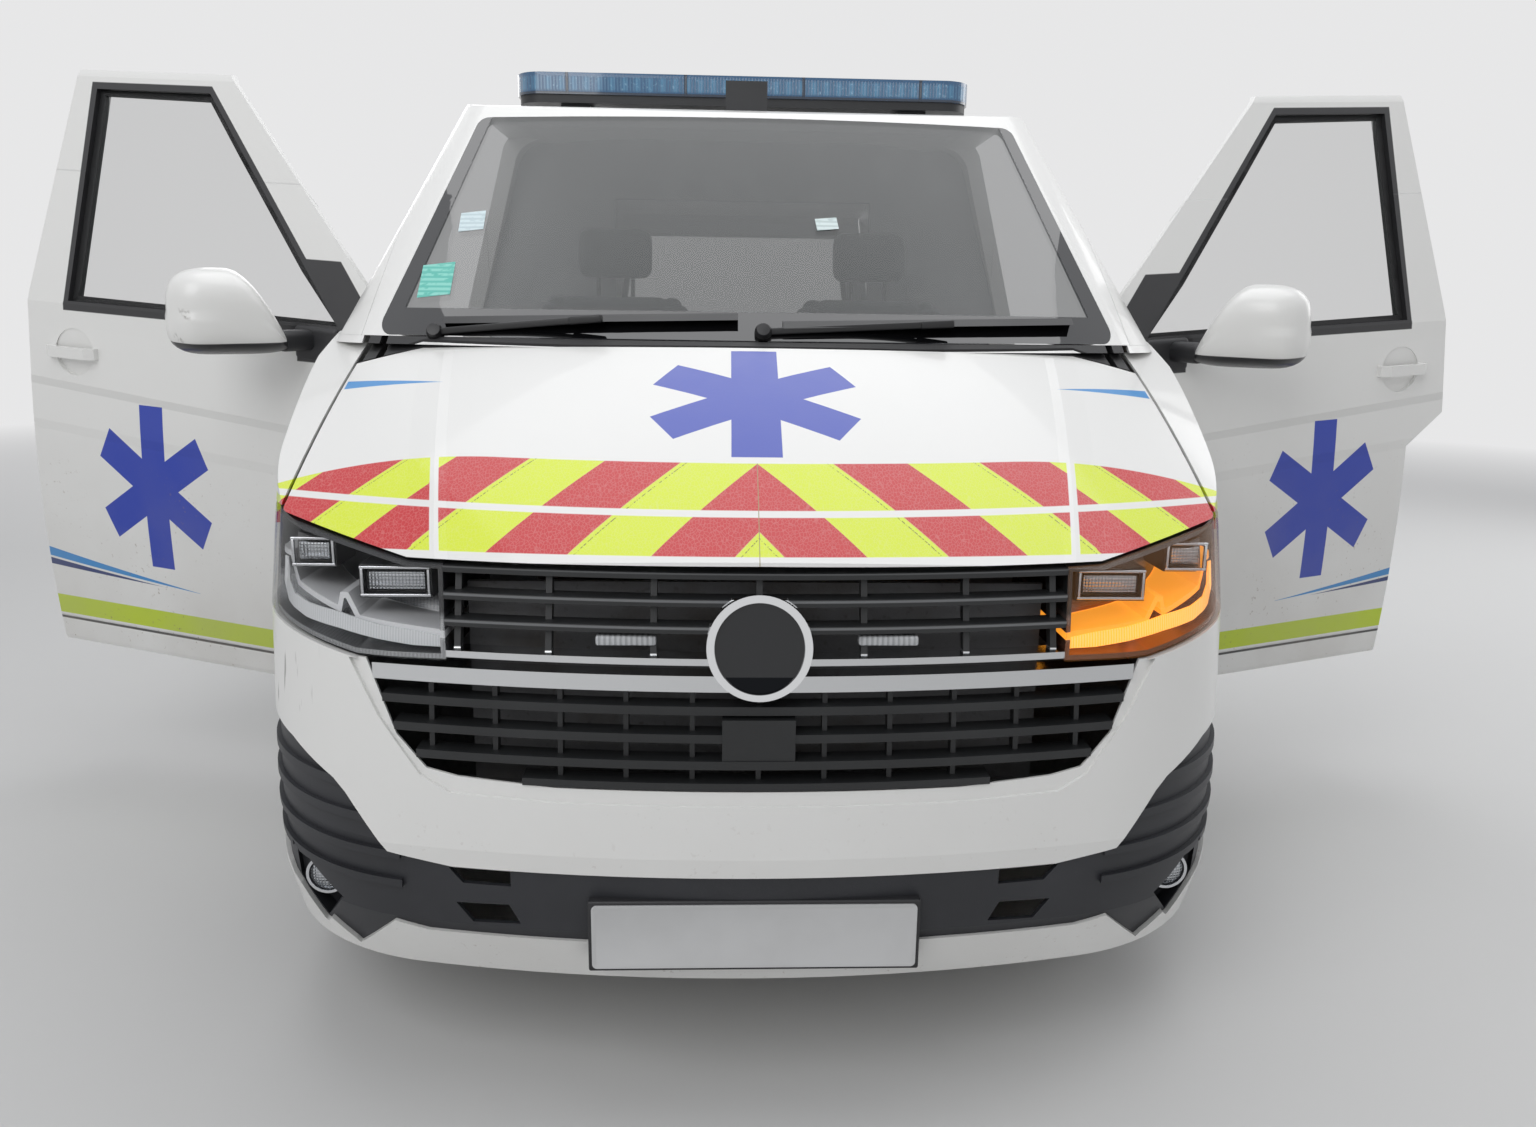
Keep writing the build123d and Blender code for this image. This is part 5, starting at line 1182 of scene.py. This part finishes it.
class VAN_OT_wheels(bpy.types.Operator):
    """Tyres with tread, painted rims, nuts and caps"""

    bl_idname = "van.wheels"
    bl_label = "Wheels"

    # Profiles as (radius, distance along the axis)
    nut = [(0, 0), (0.011, 0), (0.011, 0.012), (0.008, 0.015), (0, 0.015)]
    washer = [(0.0125, 0), (0.0145, 0), (0.0145, 0.002), (0.0125, 0.002)]
    hub_cap = [(0, 0.020), (0.018, 0.019), (0.029, 0.016), (0.034, 0.010), (0.035, 0.0), (0, 0.0)]
    valve = [(0, 0.034), (0.003, 0.033), (0.004, 0.03), (0.004, 0), (0, 0)]
    nut_count = 5

    def tyre(self, end, side, sign):
        """Rubber with grooves round the tread, cross cuts and a ringed side wall."""
        finish = Finish(f"tyre_rubber_{end}_{side}", (0.018, 0.018, 0.019), 0.8)
        across = abs(finish.place.axis("x") - sign * WHEEL_X)
        y = finish.place.axis("y") - along(AXLES[end])
        z = finish.place.axis("z") - WHEEL_HEIGHT
        radius = (y * y + z * z).root()
        angle = y.math("ARCTAN2", y, z) / tau
        tread = radius.over(0.333, 0.003)
        grooves = abs(across - 0.022).under(0.0042, 0.0008).most(abs(across - 0.056).under(0.0042, 0.0008))
        cuts = abs((angle * 64 + across * 9).fraction() - 0.5).under(0.07, 0.02) * across.over(0.026)
        # The grooves and cross cuts are painted near black: painted shade in the tread's recesses
        finish.mix(tread * grooves.most(cuts), (0.004, 0.004, 0.004))
        finish.mix(tread * (1 - grooves) * 0.5, (0.045, 0.044, 0.042))
        finish.bump(1 - tread * grooves.most(cuts), 0.007)
        wall = (radius * 60).fraction().ramp(0.1, 0.25) * radius.between(0.235, 0.325)
        finish.bump(wall, 0.0012)
        dust = finish.place.noise(14.0, 4.0).ramp(0.4, 0.8)
        finish.mix(dust * (1 - tread) * 0.35, (0.09, 0.085, 0.075))
        finish.roughness = dust * 0.15 + 0.75
        cover(finish.done(), f"tyre_{end}_{side}")

    def execute(self, context):
        rim = uneven_gloss("rim_enamel", (0.36, 0.365, 0.37), 50.0, 0.2, 0.3, coat_weight=0.3)
        rim.mix(rim.place.noise(22.0, 4.0).ramp(0.5, 0.8) * 0.5, (0.16, 0.14, 0.12))
        rim.bump(rim.place.noise(220.0), 0.0003)
        rim = rim.done()
        steel = uneven_gloss("nut_steel", (0.36, 0.36, 0.36), 80.0, 0.25, 0.3, 1.0)
        steel.mix(steel.place.noise(90.0).ramp(0.5, 0.7) * 0.6, (0.16, 0.10, 0.07))
        steel = steel.done()
        cap = grained_plastic("hub_cap_plastic", (0.03, 0.031, 0.033), 0.4)
        for end, axle in AXLES.items():
            for side, sign in SIDES:
                wheel = f"{end}_wheel_{side}"
                cover(rim, f"rim_{end}_{side}")
                self.tyre(end, side, sign)
                face = Vector((sign * (WHEEL_X + 0.028), along(axle), WHEEL_HEIGHT))
                outward = (sign, 0, 0)
                nuts = bmesh.new()
                for index in range(self.nut_count):
                    turn = tau * index / self.nut_count
                    spot = face + Vector((0, cos(turn), sin(turn))) * sizes().nut_circle
                    turned_shape(nuts, self.nut, spot, outward, 6)
                    turned_shape(nuts, self.washer, spot, outward, 20)
                finished(f"wheel_nuts_{end}_{side}", nuts, wheel, steel)
                bm = turned(self.hub_cap, face, outward)
                finished(f"hub_cap_{end}_{side}", bm, wheel, cap)
                stem = face + Vector((-sign * 0.012, 0.165, 0.0))
                valve = turned(self.valve, stem, (sign, 0.25, 0), 12)
                finished(f"tyre_valve_{end}_{side}", valve, wheel, cap)
        return {"FINISHED"}


class VAN_OT_underside(bpy.types.Operator):
    """Floor, axles, engine, exhaust and tank"""

    bl_idname = "van.underside"
    bl_label = "Underside"

    def execute(self, context):
        cover(worn_metal("floor_sealer", (0.16, 0.16, 0.165), (0.10, 0.085, 0.07), 0.7), "underbody")
        iron = worn_metal("cast_iron", (0.17, 0.16, 0.155), (0.15, 0.075, 0.04), 0.65, 0.6)
        cover(iron, "engine_block", "knuckle_left", "knuckle_right")
        enamel = worn_metal("axle_enamel", (0.05, 0.05, 0.052), (0.09, 0.06, 0.04), 0.5)
        cover(enamel, "front_axle_carrier", "rear_axle")
        cover(worn_metal("exhaust_pipe_steel", (0.38, 0.35, 0.31), (0.20, 0.10, 0.05), 0.45, 0.8), "exhaust")
        cover(grained_plastic("tank_plastic", (0.03, 0.03, 0.031), 0.6, 260.0), "fuel_tank")
        return {"FINISHED"}


class VAN_OT_light_bar(bpy.types.Operator):
    """The blue light bar with its ribs, its base and the aerial"""

    bl_idname = "van.light_bar"
    bl_label = "Light bar"

    def lens(self):
        """Blue lens with a row of lamps behind it, parted by dark joints."""
        finish = Finish("blue_lens", (0.010, 0.085, 0.20), 0.16, coat_weight=1.0, coat_roughness=0.04)
        across = finish.place.axis("x")
        height = finish.place.axis("z")
        cell = (across * 26).fraction()
        optics = (across * 104).fraction()
        lamp_row = height.between(1.974, 2.012, 0.004)
        glint = (1 - abs(cell - 0.5) * 2).ramp(0.35, 0.95) * lamp_row
        finish.mix(glint * 0.6, (0.06, 0.24, 0.42))
        finish.mix(optics.ramp(0.4, 0.9) * lamp_row * 0.25, (0.16, 0.42, 0.62))
        speckle = finish.place.noise(120.0, 2.0).ramp(0.6, 0.75) * lamp_row
        finish.mix(speckle * 0.35, (0.35, 0.62, 0.80))
        dividers = abs(abs(across) - 0.18).under(0.004, 0.001).most(abs(abs(across) - 0.54).under(0.004, 0.001))
        finish.mix(dividers, (0.004, 0.02, 0.05))
        finish.mix(height.under(1.969, 0.001), (0.004, 0.02, 0.05))
        finish.bump(optics.ramp(0.1, 0.6) * height.between(1.97, 2.016, 0.004), 0.0016)
        finish.bump(1 - dividers, 0.004)
        finish.roughness = optics * 0.06 + 0.12
        return finish.done()

    def execute(self, context):
        cover(self.lens(), "light_bar")
        cover(grained_plastic("bar_base_plastic", (0.014, 0.015, 0.017), 0.45), "light_bar_base")
        cover(grained_plastic("aerial_plastic", (0.02, 0.021, 0.023), 0.45), "roof_aerial")
        return {"FINISHED"}


class VAN_OT_wipers(bpy.types.Operator):
    """Wiper blades with their arms"""

    bl_idname = "van.wipers"
    bl_label = "Wipers"

    arms = (
        # side, pivot's x and height, x and height of the blade's middle
        ("right", -0.655, 1.262, -0.335, 1.291),
        ("left", 0.02, 1.272, 0.375, 1.291),
    )
    knob = [(0, -0.014), (0.013, -0.012), (0.017, -0.004), (0.018, 0.012), (0, 0.012)]

    def execute(self, context):
        black = grained_plastic("wiper_plastic", DARK_PLASTIC, 0.4)
        cover(black, "wipers")
        glass = Surface("windscreen", "wipers", "cowl_panel")
        for side, pivot_x, pivot_height, end_x, end_height in self.arms:
            pivot = glass.front(pivot_x, pivot_height) + Vector((0, -0.006, 0.004))
            end = glass.front(end_x, end_height) + Vector((0, -0.010, 0.004))
            run = end - pivot
            turn = run.to_track_quat("X", "Z").to_matrix().to_4x4()
            bm = blocks(
                ((pivot + end) / 2, (run.length, 0.008, 0.014), 0.003, turn),
                (end, (0.07, 0.014, 0.016), 0.004, turn),
            )
            turned_shape(bm, self.knob, pivot, (0, 1, -0.5), 24)
            finished(f"wiper_arm_{side}", bm, "body", black)
        return {"FINISHED"}


class VAN_OT_cab(bpy.types.Operator):
    """Dashboard, steering wheel and partition"""

    bl_idname = "van.cab"
    bl_label = "Cab"

    vents = (-0.70, -0.245, 0.245, 0.70)
    driver_x = 0.4

    def execute(self, context):
        board = grained_plastic("dashboard_skin", (0.030, 0.031, 0.034), 0.6, 380.0)
        cover(board, "dashboard")
        cover(grained_plastic("steering_wheel_skin", (0.015, 0.015, 0.016), 0.5, 600.0), "steering_wheel")
        cover(grained_plastic("partition_board", (0.36, 0.37, 0.38), 0.6, 200.0), "partition")
        screen = uneven_gloss("screen_glass", (0.006, 0.007, 0.010), 8.0, 0.1, 0.04, coat_weight=0.6).done()
        bm = blocks(
            ((self.driver_x, along(1.105), 1.172), (0.36, 0.15, 0.05), 0.02, tilt(-12)),
            ((0, along(1.165), 1.075), (0.30, 0.05, 0.19), 0.012, tilt(-14)),
            *[((x, along(1.178), 1.090), (0.125, 0.03, 0.072), 0.008, tilt(-14)) for x in self.vents],
        )
        finished("dashboard_hood_and_vents", bm, "body", board)
        bm = blocks(
            ((0, along(1.192), 1.10), (0.23, 0.006, 0.115), 0.002, tilt(-14)),
            ((self.driver_x, along(1.182), 1.160), (0.30, 0.006, 0.055), 0.002, tilt(-20)),
        )
        finished("cab_screens", bm, "body", screen)
        return {"FINISHED"}


class VAN_OT_stickers(bpy.types.Operator):
    """Two plain stickers low in the windscreen's corner and one at its middle"""

    bl_idname = "van.stickers"
    bl_label = "Windscreen stickers"

    stickers = (
        # name, colour, centre x and height, width, height
        ("pale_sticker", (0.50, 0.62, 0.66), -0.640, 1.512, 0.060, 0.046),
        ("green_sticker", (0.10, 0.50, 0.42), -0.688, 1.375, 0.076, 0.072),
        ("middle_sticker", (0.45, 0.55, 0.55), 0.172, 1.512, 0.050, 0.028),
    )
    slant_degrees = -6

    def execute(self, context):
        glass = Surface("windscreen")
        for name, colour, x, height, wide, tall in self.stickers:
            finish = uneven_gloss(name, colour, 30.0, 0.2, 0.35)
            lines = (finish.place.axis("z") * 95).fraction().ramp(0.35, 0.5)
            words = finish.place.noise(60.0).ramp(0.35, 0.5)
            finish.mix(lines * words * 0.45, [min(1.0, value + 0.35) for value in colour])
            bm = bmesh.new()
            bmesh.ops.create_grid(bm, x_segments=6, y_segments=6, size=0.5, matrix=tilt(90))
            bmesh.ops.scale(bm, vec=(wide, 1, tall), verts=bm.verts)
            slant = Matrix.Rotation(radians(self.slant_degrees), 3, "Y")
            bmesh.ops.rotate(bm, cent=(0, 0, 0), matrix=slant, verts=bm.verts)
            for vert in bm.verts:
                vert.co = glass.front(x + vert.co.x, height + vert.co.z) + Vector((0, -0.0012, 0.0008))
            bmesh.ops.recalc_face_normals(bm, faces=bm.faces)
            bmesh.ops.solidify(bm, geom=bm.faces[:], thickness=0.0006)
            finished(name, bm, "body", finish.done())
        return {"FINISHED"}


class VAN_OT_seats(bpy.types.Operator):
    """Two front seats: padded cushions, backs and head rests on their boxes"""

    bl_idname = "van.seats"
    bl_label = "Seats"

    middle = 0.41
    voxel = 0.006
    quick_voxel = 0.012
    cloth_frames = 20
    seam_depth = 0.007

    def voxel_block(self, name, parts):
        """Blocks joined into one evenly meshed body."""
        mesh = bpy.data.meshes.new(name)
        bm = blocks(*[(centre, size, radius, tilt(lean), 4) for centre, size, radius, lean in parts])
        bm.to_mesh(mesh)
        bm.free()
        pad = bpy.data.objects.new(name, mesh)
        bpy.context.scene.collection.objects.link(pad)
        bpy.context.view_layer.objects.active = pad
        pad.select_set(True)
        remesh = pad.modifiers.new("even", "REMESH")
        remesh.mode = "VOXEL"
        remesh.voxel_size = self.voxel
        self.apply(pad, remesh)
        return pad

    def cloth_pad(self, name, parts, material, seams, rise):
        """A padded piece: swelled by cloth pressure, held near its start and drawn in at its seams."""
        pad = self.voxel_block(name, parts)
        self.swell(pad, rise)
        smooth = pad.modifiers.new("soften", "SMOOTH")
        smooth.factor = 0.5
        smooth.iterations = 8
        self.apply(pad, smooth)
        bm = bmesh.new()
        bm.from_mesh(pad.data)
        for vert in bm.verts:
            pinch = 0.0
            for direction, offset, reach in seams:
                gap = abs(vert.co.dot(Vector(direction)) - offset)
                pinch = max(pinch, 1 - gap / reach)
            vert.co -= vert.normal * pinch * self.seam_depth
        bm.to_mesh(pad.data)
        bm.free()
        pad.data.shade_smooth()
        pad.data.materials.append(material)
        return pad

    def apply(self, piece, modifier):
        with bpy.context.temp_override(object=piece, active_object=piece, selected_objects=[piece]):
            bpy.ops.object.modifier_apply(modifier=modifier.name)

    def swell(self, pad, rise):
        """Blow the pad up with cloth pressure, no vertex further than rise."""
        scene = bpy.context.scene
        cloth = pad.modifiers.new("swell", "CLOTH")
        cloth.settings.use_pressure = True
        cloth.settings.uniform_pressure_force = 4
        cloth.settings.quality = 4
        cloth.settings.effector_weights.gravity = 0
        for step in range(1, self.cloth_frames + 1):
            scene.frame_set(step)
        shape = pad.evaluated_get(bpy.context.evaluated_depsgraph_get()).to_mesh()
        moved = [vert.co.copy() for vert in shape.vertices]
        pad.modifiers.remove(cloth)
        for vert, last in zip(pad.data.vertices, moved):
            step = last - vert.co
            vert.co = vert.co + (step * min(1.0, rise / step.length) if step.length else step)
        scene.frame_set(1)

    def cloth(self):
        """Dark woven cloth with darker seams."""
        finish = Finish("seat_cloth", (0.040, 0.042, 0.050), 0.9, sheen_weight=0.35)
        warp = (finish.place.axis("x") * 420).fraction()
        weft = ((finish.place.axis("z") + finish.place.axis("y")) * 420).fraction()
        weave = abs(warp - 0.5) + abs(weft - 0.5)
        finish.mix(weave * 0.6, (0.095, 0.10, 0.115))
        finish.mix(finish.place.noise(18.0, 4.0).ramp(0.4, 0.8) * 0.3, (0.065, 0.065, 0.07))
        finish.roughness = weave * 0.1 + 0.82
        finish.bump(weave, 0.0012, 0.8)
        return finish.done()

    def pads(self):
        """Each pad's name, its blocks with their lean, its seams and how far it may swell."""
        middle = self.middle
        cushion = [((middle, along(1.745), 0.822), (0.45, 0.50, 0.095), 0.035, -3)]
        back = [((middle, along(2.062), 1.115), (0.44, 0.085, 0.53), 0.035, -10.5)]
        for way in (-1, 1):
            cushion.append(((middle + way * 0.205, along(1.745), 0.834), (0.08, 0.48, 0.10), 0.035, -3))
            back.append(((middle + way * 0.20, along(2.045), 1.10), (0.08, 0.115, 0.50), 0.035, -10.5))
        rest = [((middle, along(2.128), 1.50), (0.235, 0.065, 0.155), 0.03, -8)]

        def side_seams(offset):
            return [((1, 0, 0), middle + way * offset, 0.014) for way in (-1, 1)]

        # A seam is a plane: its direction, its offset and how far its pinch reaches
        return (
            ("seat_cushion", cushion, [*side_seams(0.165), ((0, 1, 0), along(1.62), 0.012)], 0.012),
            ("seat_back", back, [*side_seams(0.16), ((0, 0, 1), 1.25, 0.012)], 0.012),
            ("head_rest", rest, [((1, 0, 0), middle, 0.0001)], 0.010),
        )

    def execute(self, context):
        material = self.cloth()
        base = grained_plastic("seat_base_plastic", (0.03, 0.03, 0.032), 0.6)
        for name, parts, seams, rise in self.pads():
            pad = self.cloth_pad(f"{name}_left", parts, material, seams, rise)
            twin = bpy.data.objects.new(f"{name}_right", pad.data.copy())
            twin.data.transform(Matrix.Translation((-2 * self.middle, 0, 0)))
            context.scene.collection.objects.link(twin)
            for piece in (pad, twin):
                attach(piece, "body")
                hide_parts("front_seats")
        for side, sign in SIDES:
            x = sign * self.middle
            bm = blocks(((x, along(1.76), 0.667), (0.42, 0.40, 0.205), 0.02))
            for step in (-0.055, 0.055):
                rod(bm, (x + step, along(2.128), 1.33), (x + step, along(2.128), 1.45), 0.007)
            finished(f"seat_base_{side}", bm, "body", base)
        return {"FINISHED"}


class VAN_PT_panel(bpy.types.Panel):
    """Sizes, colours and steps of the van's looks"""

    bl_label = "Ambulance van"
    bl_idname = "VAN_PT_panel"
    bl_space_type = "VIEW_3D"
    bl_region_type = "UI"
    bl_category = "Ambulance"

    def draw(self, context):
        layout = self.layout
        for group in (context.scene.van_colours, context.scene.van_sizes):
            for name in group.bl_rna.properties.keys():
                if name not in ("rna_type", "name"):
                    layout.prop(group, name)
        for step in STEPS:
            layout.operator(step.bl_idname)


STEPS = (
    VAN_OT_stage,
    VAN_OT_body_paint,
    VAN_OT_glass,
    VAN_OT_front_trim,
    VAN_OT_lamps,
    VAN_OT_tail,
    VAN_OT_plate,
    VAN_OT_mirrors,
    VAN_OT_window_frames,
    VAN_OT_wheels,
    VAN_OT_underside,
    VAN_OT_light_bar,
    VAN_OT_wipers,
    VAN_OT_cab,
    VAN_OT_stickers,
    VAN_OT_seats,
)
CLASSES = (VanColours, VanSizes, *STEPS, VAN_PT_panel)


def register():
    for item in CLASSES:
        bpy.utils.register_class(item)
    bpy.types.Scene.van_colours = bpy.props.PointerProperty(type=VanColours)
    bpy.types.Scene.van_sizes = bpy.props.PointerProperty(type=VanSizes)


def unregister():
    del bpy.types.Scene.van_sizes
    del bpy.types.Scene.van_colours
    for item in reversed(CLASSES):
        bpy.utils.unregister_class(item)


def main():
    """Build the looks step by step."""
    register()
    for step in STEPS:
        group, name = step.bl_idname.split(".")
        getattr(getattr(bpy.ops, group), name)()


if __name__ == "__main__":
    main()
